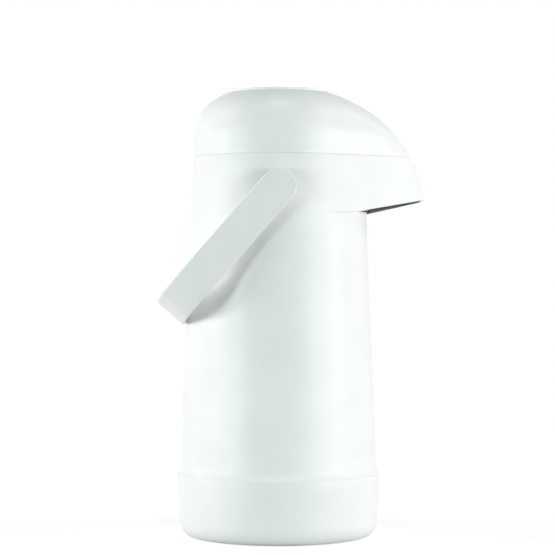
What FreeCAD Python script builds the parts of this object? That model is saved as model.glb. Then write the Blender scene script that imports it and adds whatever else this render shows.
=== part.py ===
import FreeCAD, Part
import math
import os

from FreeCAD import Vector

# Pump pot: a vacuum jug with a push-button air pump, a hinged lid, a beak and a bail handle.
# Millimetres, +Z up, origin at the middle of the base on the table, beak along +X.

# Casing and lid outline
SEAM_Z = 277.6              # the lid stands above this plane, the casing below it
SEAM_RADIUS = 63.5
TAPER = 0.0376              # radius gained per millimetre downwards
SEAM_GAP = 0.4
WALL = 2.5
OVERCUT = 1.0               # a cutter runs this far past the face that it opens
SLIP = 0.3                  # room round a piece that is pushed or dropped into another
SNUG = 0.2                  # room between faces that lie together
PILOT = 0.1                 # room round a screw
DOME_START_Z = 292.6        # the cone runs tangent into the dome here
DOME_ARC = 35.2
RIM_Z = 324.2               # top of the dome, round the button
ROOF_DROP = 1.2             # the lid's inner form sits this much lower than its outer form

# Beak: flat flanks tangent to the round head, meeting in a round nose
RIDGE_CENTRE_X = 11.3       # the ridge is one arc, seen from the side
RIDGE_CENTRE_Z = 232.6
RIDGE_ARC = 97.4
FLANK_ANGLE = math.radians(58.0)
BEAK_ROOT_Z = 235.9
BEAK_SLOPE = math.radians(10.6)
BEAK_SLOPE_X = 52.0         # the underside slopes up from here to the tip
PLATE_THICK = 2.4
PLATE_RECESS = 0.15

# Foot of the casing and base cup
FOOT_Z = 47.0
FLARE_Z = 52.6
FLARE_RADIUS = 73.9
BASE_TOP_Z = 46.2
BASE_TOP_RADIUS = 74.3
BASE_LOW_RADIUS = 72.85
BASE_CORNER = 6.5
BASE_EDGE = 1.0
BASE_FLOOR = 4.0
SPIGOT_RADIUS = 69.0
SPIGOT_TOP_Z = 58.0
PEDESTAL_TOP_Z = 9.0
PEDESTAL_OUTER = 44.0
PEDESTAL_INNER = 38.0
FOOT_GROOVE = 1.2           # ring groove in the underside, so that the rim and middle carry
FOOT_GROOVE_WIDTH = 4.0
FOOT_RIM = 5.0

# Glass refill
GLASS = 2.0
OUTER_GLASS_RADIUS = 54.0
INNER_GLASS_RADIUS = 48.5
NECK_RADIUS = 25.5          # bore of the mouth
LIP_Z = 258.0
FLASK_SHOULDER_Z = 212.0
FLASK_NECK_Z = 246.0
OUTER_BOTTOM_Z = 36.0
INNER_BOTTOM_Z = 42.0
OUTER_CORNER = 27.0         # radius between the flask's side and its bottom
INNER_CORNER = 24.0
LIP_WIDTH = 4.0
SEALING_TIP_RADIUS = 3.5
SEALING_TIP = 8.0
SPACER_RADIUS = 4.0
SPACER_Z = 90.0
SPACER_ANGLES = (30, 150, 270)
CUSHION_RADIUS = 50.0
CUSHION_FOOT_RADIUS = 46.0
CUSHION_WAIST_Z = 16.0
CUSHION_TOP_Z = 46.0
CUSHION_HOLE = 6.0
GASKET_RADIUS = 33.0

# Deck round the mouth
DECK_LOW_Z = 261.0
DECK_TOP_Z = 265.0
DECK_RADIUS = 60.3
COLLAR_OUTER = 31.0
COLLAR_INNER = 27.0
COLLAR_TOP_Z = 275.0
LEDGE_RADIUS = 56.0
LEDGE_THICK = 3.0
DECK_SCREW_CIRCLE = 57.8
DECK_SCREW_ANGLES = (60, 180, 300)
DECK_SCREW_DEPTH = 2.5
DECK_SCREW_HEAD = 2.4
DECK_SCREW_HEAD_THICK = 1.8

# Liquid path
TUBE_X = 18.0
TUBE_RADIUS = 3.5
TUBE_BORE = 2.3
SOCKET_RADIUS = 4.6
PIPE_Z = 270.0
SPOUT_X = 86.0
NOZZLE_RECESS = 1.0         # the nozzle ends this far above the beak's underside
TUBE_FOOT_Z = 52.0
TUBE_FOOT_BELOW = 4.0
TUBE_FOOT_ABOVE = 8.0
TUBE_FOOT_WALL = 1.5
TUBE_FOOT_SLOT = 0.8        # half width of the inlet slots
TUBE_FOOT_SLOT_HIGH = 3.0
SOCKET_DEPTH = 7.0          # how far a tube goes into a socket
DIP_TUBE_TOP_Z = 264.0
SPOUT_PIPE_X = 27.0         # inner end of the level pipe

# Lid hinge at the rear
HINGE_X = -58.5
HINGE_Z = 283.6
HINGE_HALF = 18.0
HINGE_BARREL = 7.0
LUG_Y = 10.0
LUG_HALF = 3.5
LUG_RADIUS = 5.0
LUG_RISE = 12.0             # height of a lug's arm above the hinge axis
PIN_RADIUS = 1.5
RUNNING = 0.05
PLAY = 0.4
HINGE_ROOM = 0.5            # room in the lid round the barrel
RELIEF_HALF = 26.0          # half width of the groove that lets the lid's rear rim pass
HINGE_WEB = 10.0            # depth of the web that carries the barrel

# Pump and button
BUTTON_RADIUS = 41.8
BUTTON_TOP_Z = 330.0
BUTTON_EDGE_Z = 326.4
BUTTON_EDGE = 1.2
BUTTON_TRAVEL = 22.0
BUTTON_CROWN = 3.4          # thickness of the crown at its edge
SKIRT_WALL = 2.0
SKIRT_LIP = 1.8
SKIRT_LIP_HIGH = 2.0
SLEEVE_RADIUS = 42.3
SLEEVE_WALL = 2.0
SLEEVE_LOW_Z = 308.6
PUMP_BASE_LOW_Z = 280.0
PUMP_BASE_TOP_Z = 283.0
PUMP_BASE_RADIUS = 53.0
SKIRT_LOW_Z = PUMP_BASE_TOP_Z + BUTTON_TRAVEL + 1.0
SCREW_RADIUS = 1.4
PUMP_SCREW_CIRCLE = 48.5
PUMP_SCREW_ANGLES = (45, 135, 225, 315)
PUMP_SCREW_HEAD = 3.0
PUMP_SCREW_HEAD_THICK = 1.6
PUMP_SCREW_DEPTH = 8.0
PUMP_POST_RADIUS = 3.5
AIR_HOLE_RADIUS = 1.6
AIR_HOLE_CIRCLE = 3.5
AIR_HOLE_ANGLES = (0, 120, 240)
FLAP_RADIUS = 7.0
FLAP_THICK = 0.9
BELLOWS_OUTER = 36.0
BELLOWS_INNER = 28.0
BELLOWS_SKIN = 1.2
BELLOWS_FOLDS = 5
BELLOWS_TOP_Z = 319.8
BELLOWS_FLANGE = 1.5
BELLOWS_NECK = 4.0          # from the pump base to the first fold
BELLOWS_HEAD_RADIUS = 24.0
CLAMP_THICK = 2.0
SPRING_RADIUS = 12.0
SPRING_WIRE = 0.9
SPRING_TURNS = 6

# Bail handle
PIVOT_Z = 253.6
BAIL_REST = math.radians(48.8)     # below the horizontal, to the rear
BAIL_WIDTH = 25.0
BAIL_REACH = 120.8                 # pivot to the outer face of the grip
BAIL_BOW = 190.0                   # radius of the grip's bow
GRIP_THICK = 3.8
ARM_INNER = 68.7
ARM_OUTER = 73.7
BAIL_CORNER = 32.0
BAIL_ROUND = 1.4
TRUNNION_RADIUS = 5.0
TRUNNION_END = 56.0
BOSS_RADIUS = 7.0
BOSS_END = 58.0
CLIP_WALL = 2.0

Z_AXIS = Vector(0, 0, 1)


def body_radius(z):
    return SEAM_RADIUS + TAPER * (SEAM_Z - z)


def head_radius(z):
    """Outer radius of casing or lid: a cone that runs tangent into the dome."""
    if z <= DOME_START_Z:
        return body_radius(z)
    rise = z - DOME_START_Z
    return body_radius(DOME_START_Z) - DOME_ARC + math.sqrt(DOME_ARC ** 2 - rise ** 2)


def ridge_reach(z):
    return RIDGE_CENTRE_X + math.sqrt(RIDGE_ARC ** 2 - (z - RIDGE_CENTRE_Z) ** 2)


def teardrop(z, inset, level):
    """Level outline of the head: round back, two flat flanks and a round nose."""
    cos, sin = math.cos(FLANK_ANGLE), math.sin(FLANK_ANGLE)
    back = head_radius(z) - inset
    tip = ridge_reach(z) - inset
    nose = (back - cos * tip) / (1 - cos)
    centre = tip - nose

    def point(x, y):
        return Vector(x, y, level)

    back_left = point(back * cos, back * sin)
    back_right = point(back * cos, -back * sin)
    nose_left = point(centre + nose * cos, nose * sin)
    nose_right = point(centre + nose * cos, -nose * sin)
    return Part.Wire([
        Part.Arc(back_left, point(-back, 0), back_right).toShape(),
        Part.makeLine(back_right, nose_right),
        Part.Arc(nose_right, point(tip, 0), nose_left).toShape(),
        Part.makeLine(nose_left, back_left),
    ])


def head_loft(heights, inset=0.0, drop=0.0):
    return Part.makeLoft([teardrop(z, inset, z - drop) for z in heights], True)


def even(low, high, count):
    return [low + (high - low) * i / (count - 1) for i in range(count)]


def on_arc(centre_x, centre_z, radius, degrees):
    angle = math.radians(degrees)
    return (centre_x + radius * math.cos(angle), centre_z + radius * math.sin(angle))


def lathe(start, *steps):
    """Solid of revolution about Z. A step is a corner, or (point on the arc, end of the arc)."""
    edges = []
    here = start
    for step in steps + (start,):
        arc = isinstance(step[0], tuple)
        there = step[1] if arc else step
        first, last = Vector(here[0], 0, here[1]), Vector(there[0], 0, there[1])
        if arc:
            edges.append(Part.Arc(first, Vector(step[0][0], 0, step[0][1]), last).toShape())
        else:
            edges.append(Part.makeLine(first, last))
        here = there
    return Part.Face(Part.Wire(edges)).revolve(Vector(0, 0, 0), Z_AXIS, 360)


def cylinder(radius, low, high, x=0.0, y=0.0):
    return Part.makeCylinder(radius, high - low, Vector(x, y, low), Z_AXIS)


def ring(outer, inner, low, high):
    return cylinder(outer, low, high).cut(cylinder(inner, low - OVERCUT, high + OVERCUT))


def rod_x(radius, x0, x1, y, z):
    return Part.makeCylinder(radius, x1 - x0, Vector(x0, y, z), Vector(1, 0, 0))


def rod_y(radius, y0, y1, x, z):
    return Part.makeCylinder(radius, y1 - y0, Vector(x, y0, z), Vector(0, 1, 0))


def box(x0, x1, y0, y1, z0, z1):
    return Part.makeBox(x1 - x0, y1 - y0, z1 - z0, Vector(x0, y0, z0))


def cone_solid(low, high, inset):
    """The casing's cone, drawn in by an inset."""
    return lathe((0, low), (body_radius(low) - inset, low), (body_radius(high) - inset, high), (0, high))


def around(radius, angles):
    return [(radius * math.cos(math.radians(a)), radius * math.sin(math.radians(a))) for a in angles]


def beak_underside(x):
    return BEAK_ROOT_Z + max(0.0, x - BEAK_SLOPE_X) * math.tan(BEAK_SLOPE)


def below_beak(shift, start_x):
    """Space under the beak's underside, raised by a shift, from a start outwards."""
    far, half, depth = 130.0, 90.0, 5.0
    edge = [x for x in (start_x, BEAK_SLOPE_X, far) if x >= start_x]
    outline = [(x, beak_underside(x)) for x in sorted(set(edge))]
    outline += [(far, BEAK_ROOT_Z - depth), (start_x, BEAK_ROOT_Z - depth)]
    corners = [Vector(x, -half, z + shift) for x, z in outline]
    return Part.Face(Part.makePolygon(corners + corners[:1])).extrude(Vector(0, 2 * half, 0))


def beak_cavity(inset, low, high):
    """Space inside the beak, in front of the casing's round wall."""
    return head_loft(even(low, high, 6), inset).cut(cone_solid(low - OVERCUT, high + OVERCUT, 0.0))


def hinge_slots(half):
    """Room for the lid's two lugs in the hinge barrel."""
    reach = 2 * HINGE_BARREL
    floor = HINGE_Z - LUG_RADIUS - 2 * SLIP
    return [box(HINGE_X - reach, HINGE_X + reach, s * LUG_Y - half, s * LUG_Y + half, floor, HINGE_Z + reach)
            for s in (-1, 1)]


def hinge_block():
    barrel = rod_y(HINGE_BARREL, -HINGE_HALF, HINGE_HALF, HINGE_X, HINGE_Z)
    web_low = SEAM_Z - HINGE_WEB
    web = box(-body_radius(web_low), 0, -HINGE_HALF, HINGE_HALF, web_low, SEAM_Z)
    web = web.cut(cylinder(LEDGE_RADIUS, web_low - OVERCUT, SEAM_Z + OVERCUT))
    block = barrel.fuse(web).common(head_loft(even(web_low - OVERCUT, DOME_START_Z, 4)))
    for slot in hinge_slots(LUG_HALF + SLIP):
        block = block.cut(slot)
    return block


def body_casing():
    flare = FLARE_RADIUS - body_radius(FLARE_Z)
    cove = (flare ** 2 + (FLARE_Z - FOOT_Z) ** 2) / (2 * flare)
    cove_turn = math.degrees(math.asin((FLARE_Z - FOOT_Z) / cove))
    cove_mid = on_arc(body_radius(FLARE_Z) + cove, FLARE_Z, cove, 180 + cove_turn / 2)
    cone = lathe(
        (0, FOOT_Z), (FLARE_RADIUS, FOOT_Z), (cove_mid, (body_radius(FLARE_Z), FLARE_Z)),
        (body_radius(BEAK_ROOT_Z), BEAK_ROOT_Z), (0, BEAK_ROOT_Z))
    head = head_loft(even(BEAK_ROOT_Z, SEAM_Z, 6))
    round_wall = cone_solid(FLARE_Z, SEAM_Z, 0.0)
    casing = cone.fuse(head).cut(below_beak(0.0, BEAK_SLOPE_X).cut(round_wall))
    casing = casing.cut(cone_solid(FOOT_Z - OVERCUT, SEAM_Z + OVERCUT, WALL))
    casing = casing.cut(beak_cavity(WALL, BEAK_ROOT_Z - 2 * OVERCUT, SEAM_Z + OVERCUT))
    ledge_low = DECK_LOW_Z - LEDGE_THICK
    casing = casing.fuse(ring(body_radius(ledge_low) - WALL / 2, LEDGE_RADIUS, ledge_low, DECK_LOW_Z))
    casing = casing.cut(rod_y(BOSS_RADIUS + OVERCUT, -BOSS_END, BOSS_END, 0, PIVOT_Z))
    for x, y in around(DECK_SCREW_CIRCLE, DECK_SCREW_ANGLES):
        casing = casing.cut(cylinder(SCREW_RADIUS, ledge_low - OVERCUT, DECK_LOW_Z + OVERCUT, x, y))
    for side in (-1, 1):
        ends = sorted((side * BOSS_END, side * (body_radius(PIVOT_Z) - WALL / 2)))
        casing = casing.fuse(rod_y(BOSS_RADIUS, ends[0], ends[1], 0, PIVOT_Z))
    casing = casing.cut(rod_y(TRUNNION_RADIUS + RUNNING, -ARM_OUTER, ARM_OUTER, 0, PIVOT_Z))
    casing = casing.cut(rod_x(TUBE_RADIUS + SLIP, LEDGE_RADIUS, SPOUT_X - SOCKET_RADIUS, 0, PIPE_Z))
    casing = casing.cut(rod_y(HINGE_Z - SEAM_Z + PLAY, -RELIEF_HALF, RELIEF_HALF, HINGE_X, HINGE_Z))
    casing = casing.fuse(hinge_block())
    return casing.cut(rod_y(PIN_RADIUS, -HINGE_HALF - OVERCUT, HINGE_HALF + OVERCUT, HINGE_X, HINGE_Z))


def base_cup():
    corner_x = BASE_LOW_RADIUS - BASE_CORNER
    edge_x = BASE_TOP_RADIUS - BASE_EDGE
    edge_z = BASE_TOP_Z - BASE_EDGE
    inner = BASE_LOW_RADIUS - WALL
    spigot_inner = SPIGOT_RADIUS - WALL
    groove_outer = corner_x - FOOT_RIM
    groove_inner = groove_outer - FOOT_GROOVE_WIDTH
    cup = lathe(
        (0, 0), (groove_inner, 0), (groove_inner, FOOT_GROOVE),
        (groove_outer, FOOT_GROOVE), (groove_outer, 0), (corner_x, 0),
        (on_arc(corner_x, BASE_CORNER, BASE_CORNER, -45), (BASE_LOW_RADIUS, BASE_CORNER)),
        (BASE_TOP_RADIUS, edge_z), (on_arc(edge_x, edge_z, BASE_EDGE, 45), (edge_x, BASE_TOP_Z)),
        (SPIGOT_RADIUS, BASE_TOP_Z), (SPIGOT_RADIUS, SPIGOT_TOP_Z), (spigot_inner, SPIGOT_TOP_Z),
        (spigot_inner, BASE_TOP_Z - BASE_FLOOR), (inner, BASE_TOP_Z - 2 * BASE_FLOOR),
        (inner, BASE_CORNER + WALL), (corner_x, BASE_FLOOR), (0, BASE_FLOOR))
    return cup.fuse(ring(PEDESTAL_OUTER, PEDESTAL_INNER, BASE_FLOOR / 2, PEDESTAL_TOP_Z))


def bottle(radius, bottom, neck, top, corner, grow=0.0):
    """Solid form of a flask: round bottom corner, domed shoulder and straight neck."""
    shoulder_z, neck_z = FLASK_SHOULDER_Z, FLASK_NECK_Z + grow
    bulge = neck + (radius - neck) * math.sqrt(0.5)
    return lathe(
        (0, bottom), (radius - corner, bottom),
        (on_arc(radius - corner, bottom + corner, corner, -45), (radius, bottom + corner)),
        (radius, shoulder_z), ((bulge, shoulder_z + (neck_z - shoulder_z) * math.sqrt(0.5)), (neck, neck_z)),
        (neck, top), (0, top))


def refill_inner_glass():
    neck_outer = NECK_RADIUS + GLASS
    outside = bottle(INNER_GLASS_RADIUS, INNER_BOTTOM_Z, neck_outer, LIP_Z, INNER_CORNER, GLASS)
    inside = bottle(INNER_GLASS_RADIUS - GLASS, INNER_BOTTOM_Z + GLASS, NECK_RADIUS, LIP_Z + OVERCUT,
                    INNER_CORNER - GLASS)
    lip = ring(neck_outer + LIP_WIDTH, NECK_RADIUS + GLASS / 2, LIP_Z - GLASS, LIP_Z)
    return outside.fuse(lip).cut(inside)


def refill_outer_glass():
    neck_outer = NECK_RADIUS + GLASS + LIP_WIDTH
    lip_under = LIP_Z - GLASS
    outside = bottle(OUTER_GLASS_RADIUS, OUTER_BOTTOM_Z, neck_outer, lip_under, OUTER_CORNER, 3 * GLASS)
    inside = bottle(OUTER_GLASS_RADIUS - GLASS, OUTER_BOTTOM_Z + GLASS, neck_outer - GLASS,
                    lip_under + OVERCUT, OUTER_CORNER - GLASS, 2 * GLASS)
    sealing_tip = cylinder(SEALING_TIP_RADIUS, OUTER_BOTTOM_Z - SEALING_TIP, OUTER_BOTTOM_Z + GLASS / 2)
    return outside.fuse(sealing_tip).cut(inside)


def refill_spacers():
    low, high = INNER_GLASS_RADIUS + SNUG, OUTER_GLASS_RADIUS - GLASS - SNUG
    pads = []
    for x, y in around(1.0, SPACER_ANGLES):
        outwards = Vector(x, y, 0)
        start = outwards * low + Vector(0, 0, SPACER_Z)
        pads.append(Part.makeCylinder(SPACER_RADIUS, high - low, start, outwards))
    return Part.makeCompound(pads)


def refill_cushion():
    form = bottle(OUTER_GLASS_RADIUS + SLIP, OUTER_BOTTOM_Z - SLIP, NECK_RADIUS, LIP_Z, OUTER_CORNER + SLIP)
    pad = lathe(
        (0, PEDESTAL_TOP_Z), (CUSHION_FOOT_RADIUS, PEDESTAL_TOP_Z), (CUSHION_RADIUS, CUSHION_WAIST_Z),
        (CUSHION_RADIUS, CUSHION_TOP_Z), (0, CUSHION_TOP_Z))
    return pad.cut(form).cut(cylinder(CUSHION_HOLE, 0, CUSHION_TOP_Z))


def neck_gasket():
    return ring(GASKET_RADIUS, NECK_RADIUS + SLIP, LIP_Z, DECK_LOW_Z)


def top_deck():
    deck = cylinder(DECK_RADIUS, DECK_LOW_Z, DECK_TOP_Z)
    deck = deck.fuse(cylinder(COLLAR_OUTER, DECK_LOW_Z, COLLAR_TOP_Z))
    deck = deck.cut(cylinder(COLLAR_INNER, DECK_TOP_Z, COLLAR_TOP_Z + OVERCUT))
    deck = deck.cut(cylinder(NECK_RADIUS + SLIP, DECK_LOW_Z - OVERCUT, DECK_TOP_Z + OVERCUT))
    slot = SOCKET_RADIUS + SLIP
    deck = deck.cut(box(TUBE_X, COLLAR_OUTER + OVERCUT, -slot, slot, DECK_TOP_Z, COLLAR_TOP_Z + OVERCUT))
    for x, y in around(DECK_SCREW_CIRCLE, DECK_SCREW_ANGLES):
        deck = deck.cut(cylinder(SCREW_RADIUS + PILOT, DECK_LOW_Z - OVERCUT, DECK_TOP_Z + OVERCUT, x, y))
    return deck


def deck_screws():
    screws = []
    head_top = DECK_TOP_Z + DECK_SCREW_HEAD_THICK
    for x, y in around(DECK_SCREW_CIRCLE, DECK_SCREW_ANGLES):
        shank = cylinder(SCREW_RADIUS, DECK_LOW_Z - DECK_SCREW_DEPTH, head_top, x, y)
        screws.append(shank.fuse(cylinder(DECK_SCREW_HEAD, DECK_TOP_Z, head_top, x, y)))
    return Part.makeCompound(screws)


def elbow(x, low, x_end):
    """Pipe bend from a vertical to a level socket, with its bores."""
    first, last = sorted((x, x_end))
    bend = cylinder(SOCKET_RADIUS, low, PIPE_Z, x).fuse(rod_x(SOCKET_RADIUS, first, last, 0, PIPE_Z))
    bend = bend.fuse(Part.makeSphere(SOCKET_RADIUS, Vector(x, 0, PIPE_Z)))
    bores = cylinder(TUBE_BORE, low - OVERCUT, PIPE_Z, x).fuse(rod_x(TUBE_BORE, first, last, 0, PIPE_Z))
    return bend.cut(bores.fuse(Part.makeSphere(TUBE_BORE, Vector(x, 0, PIPE_Z))))


def pipe_elbow():
    low, far = DIP_TUBE_TOP_Z - SOCKET_DEPTH, SPOUT_PIPE_X + SOCKET_DEPTH
    body = elbow(TUBE_X, low, far)
    body = body.cut(cylinder(TUBE_RADIUS, low - OVERCUT, DIP_TUBE_TOP_Z, TUBE_X))
    return body.cut(rod_x(TUBE_RADIUS, SPOUT_PIPE_X, far + OVERCUT, 0, PIPE_Z))


def dip_tube():
    tube = cylinder(TUBE_RADIUS, TUBE_FOOT_Z, DIP_TUBE_TOP_Z, TUBE_X)
    return tube.cut(cylinder(TUBE_BORE, TUBE_FOOT_Z - OVERCUT, DIP_TUBE_TOP_Z + OVERCUT, TUBE_X))


def dip_tube_foot():
    low, high = TUBE_FOOT_Z - TUBE_FOOT_BELOW, TUBE_FOOT_Z + TUBE_FOOT_ABOVE
    radius, slot = TUBE_RADIUS + TUBE_FOOT_WALL, TUBE_FOOT_SLOT
    slot_low, slot_high = low - OVERCUT, low + TUBE_FOOT_SLOT_HIGH
    foot = cylinder(radius, low, high, TUBE_X)
    foot = foot.cut(cylinder(TUBE_RADIUS, TUBE_FOOT_Z, high + OVERCUT, TUBE_X))
    foot = foot.cut(cylinder(TUBE_BORE, low - OVERCUT, high, TUBE_X))
    foot = foot.cut(box(TUBE_X - radius, TUBE_X + radius, -slot, slot, slot_low, slot_high))
    return foot.cut(box(TUBE_X - slot, TUBE_X + slot, -radius, radius, slot_low, slot_high))


def spout_pipe():
    far = SPOUT_X - SOCKET_RADIUS
    pipe = rod_x(TUBE_RADIUS, SPOUT_PIPE_X, far, 0, PIPE_Z)
    return pipe.cut(rod_x(TUBE_BORE, SPOUT_PIPE_X - OVERCUT, far + OVERCUT, 0, PIPE_Z))


def spout_nozzle():
    far = SPOUT_X - SOCKET_RADIUS
    near = far - SOCKET_DEPTH
    body = elbow(SPOUT_X, beak_underside(SPOUT_X) + NOZZLE_RECESS, near)
    return body.cut(rod_x(TUBE_RADIUS, near - OVERCUT, far, 0, PIPE_Z))


def spout_plate():
    low, high = BEAK_ROOT_Z - 2 * OVERCUT, beak_underside(ridge_reach(BEAK_ROOT_Z)) + 2 * PLATE_THICK
    space = head_loft(even(low, high, 4), WALL + SNUG)
    space = space.cut(cone_solid(low - OVERCUT, high + OVERCUT, -SLIP))
    slab = below_beak(PLATE_RECESS + PLATE_THICK, 0.0).cut(below_beak(PLATE_RECESS, 0.0))
    return space.common(slab).cut(cylinder(SOCKET_RADIUS + SLIP, low, high, SPOUT_X))


def hinge_pin():
    return rod_y(PIN_RADIUS, -HINGE_HALF + SLIP, HINGE_HALF - SLIP, HINGE_X, HINGE_Z)


def lid_lugs(outline):
    lugs = []
    for side in (-1, 1):
        low, high = side * LUG_Y - LUG_HALF, side * LUG_Y + LUG_HALF
        arm = box(HINGE_X - LUG_RADIUS, HINGE_X + LUG_RADIUS, low, high, HINGE_Z, HINGE_Z + LUG_RISE)
        lugs.append(rod_y(LUG_RADIUS, low, high, HINGE_X, HINGE_Z).fuse(arm.common(outline)))
    return lugs


def lid_shell():
    dome_turn = math.asin((RIM_Z - DOME_START_Z) / DOME_ARC)
    dome = [DOME_START_Z + DOME_ARC * math.sin(turn) for turn in even(0.0, dome_turn, 7)]
    side = [SEAM_Z + SEAM_GAP, (SEAM_Z + DOME_START_Z) / 2]
    outline = head_loft(side + dome)
    inside = head_loft([SEAM_Z - OVERCUT] + side[1:] + dome[:-1], WALL, ROOF_DROP)
    shell = outline.cut(inside)
    sleeve = cylinder(SLEEVE_RADIUS + SLEEVE_WALL, SLEEVE_LOW_Z, RIM_Z).common(outline)
    shell = shell.fuse(sleeve)
    post_places = around(PUMP_SCREW_CIRCLE, PUMP_SCREW_ANGLES)
    for x, y in post_places:
        shell = shell.fuse(cylinder(PUMP_POST_RADIUS, PUMP_BASE_TOP_Z, RIM_Z, x, y).common(outline))
    shell = shell.cut(cylinder(SLEEVE_RADIUS, SLEEVE_LOW_Z - OVERCUT, RIM_Z + OVERCUT))
    hole_top = PUMP_BASE_TOP_Z + PUMP_SCREW_DEPTH + OVERCUT
    for x, y in post_places:
        shell = shell.cut(cylinder(SCREW_RADIUS + PILOT, PUMP_BASE_TOP_Z - OVERCUT, hole_top, x, y))
    half = HINGE_HALF + PLAY
    shell = shell.cut(rod_y(HINGE_BARREL + HINGE_ROOM, -half, half, HINGE_X, HINGE_Z))
    for lug in lid_lugs(outline):
        shell = shell.fuse(lug)
    return shell.cut(rod_y(PIN_RADIUS + RUNNING, -HINGE_HALF, HINGE_HALF, HINGE_X, HINGE_Z))


def pump_base():
    """Disc with a flat at the rear, clear of the hinge barrel."""
    low, high = PUMP_BASE_LOW_Z - OVERCUT, PUMP_BASE_TOP_Z + OVERCUT
    radius = PUMP_BASE_RADIUS
    flat_x = HINGE_X + HINGE_BARREL + 4 * PLAY
    plate = cylinder(radius, PUMP_BASE_LOW_Z, PUMP_BASE_TOP_Z)
    plate = plate.cut(box(-radius, flat_x, -radius, radius, low, high))
    for x, y in around(PUMP_SCREW_CIRCLE, PUMP_SCREW_ANGLES):
        plate = plate.cut(cylinder(SCREW_RADIUS + PILOT, low, high, x, y))
    for x, y in around(AIR_HOLE_CIRCLE, AIR_HOLE_ANGLES):
        plate = plate.cut(cylinder(AIR_HOLE_RADIUS, low, high, x, y))
    return plate


def pump_screws():
    screws = []
    head_low = PUMP_BASE_LOW_Z - PUMP_SCREW_HEAD_THICK
    for x, y in around(PUMP_SCREW_CIRCLE, PUMP_SCREW_ANGLES):
        head = cylinder(PUMP_SCREW_HEAD, head_low, PUMP_BASE_LOW_Z, x, y)
        screws.append(head.fuse(cylinder(SCREW_RADIUS, head_low, PUMP_BASE_TOP_Z + PUMP_SCREW_DEPTH, x, y)))
    return Part.makeCompound(screws)


def mouth_seal():
    return ring(COLLAR_OUTER + SLIP, COLLAR_INNER - SLIP, COLLAR_TOP_Z + SLIP, PUMP_BASE_LOW_Z)


def air_valve_flap():
    return cylinder(FLAP_RADIUS, PUMP_BASE_LOW_Z - FLAP_THICK, PUMP_BASE_LOW_Z)


def bellows():
    """Folded rubber skin with a clamped foot flange and a closed top."""
    low = PUMP_BASE_TOP_Z + BELLOWS_NECK
    crown = BELLOWS_TOP_Z - BELLOWS_SKIN
    pitch = (crown - BELLOWS_SKIN - low) / BELLOWS_FOLDS
    outside = [(BELLOWS_INNER + BELLOWS_SKIN, low)]
    for i in range(BELLOWS_FOLDS):
        outside.append((BELLOWS_OUTER, low + pitch * (i + 0.5)))
        outside.append((BELLOWS_INNER + BELLOWS_SKIN, low + pitch * (i + 1)))
    skin_across = 1.6 * BELLOWS_SKIN
    inside = [(radius - skin_across, z) for radius, z in reversed(outside)]
    bore = BELLOWS_INNER + BELLOWS_SKIN - skin_across
    flange = PUMP_BASE_TOP_Z + BELLOWS_FLANGE
    return lathe(
        (bore, PUMP_BASE_TOP_Z), (BELLOWS_OUTER, PUMP_BASE_TOP_Z), (BELLOWS_OUTER, flange),
        (BELLOWS_INNER + BELLOWS_SKIN, flange), *outside, (BELLOWS_INNER, BELLOWS_TOP_Z), (0, BELLOWS_TOP_Z),
        (0, crown), (bore, crown), *inside)


def bellows_clamp_ring():
    low = PUMP_BASE_TOP_Z + BELLOWS_FLANGE
    middle = (BELLOWS_OUTER + BELLOWS_INNER) / 2
    return ring(BELLOWS_OUTER + CLAMP_THICK, middle, low, low + CLAMP_THICK)


def return_spring():
    """Helix of quarter-turn arcs, swept by the wire."""
    low = PUMP_BASE_TOP_Z + SPRING_WIRE + SNUG
    high = BELLOWS_TOP_Z - BELLOWS_SKIN - SPRING_WIRE - SNUG

    def on_helix(turns):
        angle = 2 * math.pi * turns
        return Vector(SPRING_RADIUS * math.cos(angle), SPRING_RADIUS * math.sin(angle),
                      low + (high - low) * turns / SPRING_TURNS)

    arcs = [Part.Arc(on_helix(i / 4), on_helix(i / 4 + 0.125), on_helix(i / 4 + 0.25)).toShape()
            for i in range(4 * SPRING_TURNS)]
    path = Part.Wire(arcs)
    section = Part.Wire(Part.makeCircle(SPRING_WIRE, on_helix(0), Vector(0, 1, 0)))
    return path.makePipeShell([section], True, False)


def push_button():
    rise = BUTTON_TOP_Z - BUTTON_EDGE_Z
    edge_x = BUTTON_RADIUS - BUTTON_EDGE
    crown = (edge_x ** 2 + rise ** 2) / (2 * rise)
    crown_mid = (edge_x / 2, BUTTON_TOP_Z - crown + math.sqrt(crown ** 2 - (edge_x / 2) ** 2))
    edge_mid = on_arc(edge_x, BUTTON_EDGE_Z - BUTTON_EDGE, BUTTON_EDGE, 45)
    inner = BUTTON_RADIUS - SKIRT_WALL
    under_z = BUTTON_EDGE_Z - BUTTON_CROWN
    lip = BUTTON_RADIUS + SKIRT_LIP
    lip_top = SKIRT_LOW_Z + SKIRT_LIP_HIGH
    return lathe(
        (0, BUTTON_TOP_Z), (crown_mid, (edge_x, BUTTON_EDGE_Z)),
        (edge_mid, (BUTTON_RADIUS, BUTTON_EDGE_Z - BUTTON_EDGE)),
        (BUTTON_RADIUS, lip_top), (lip, lip_top), (lip, SKIRT_LOW_Z),
        (inner, SKIRT_LOW_Z), (inner, under_z), (0, under_z))


def bellows_head():
    return cylinder(BELLOWS_HEAD_RADIUS, BELLOWS_TOP_Z + SNUG, BUTTON_EDGE_Z - BUTTON_CROWN)


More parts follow.
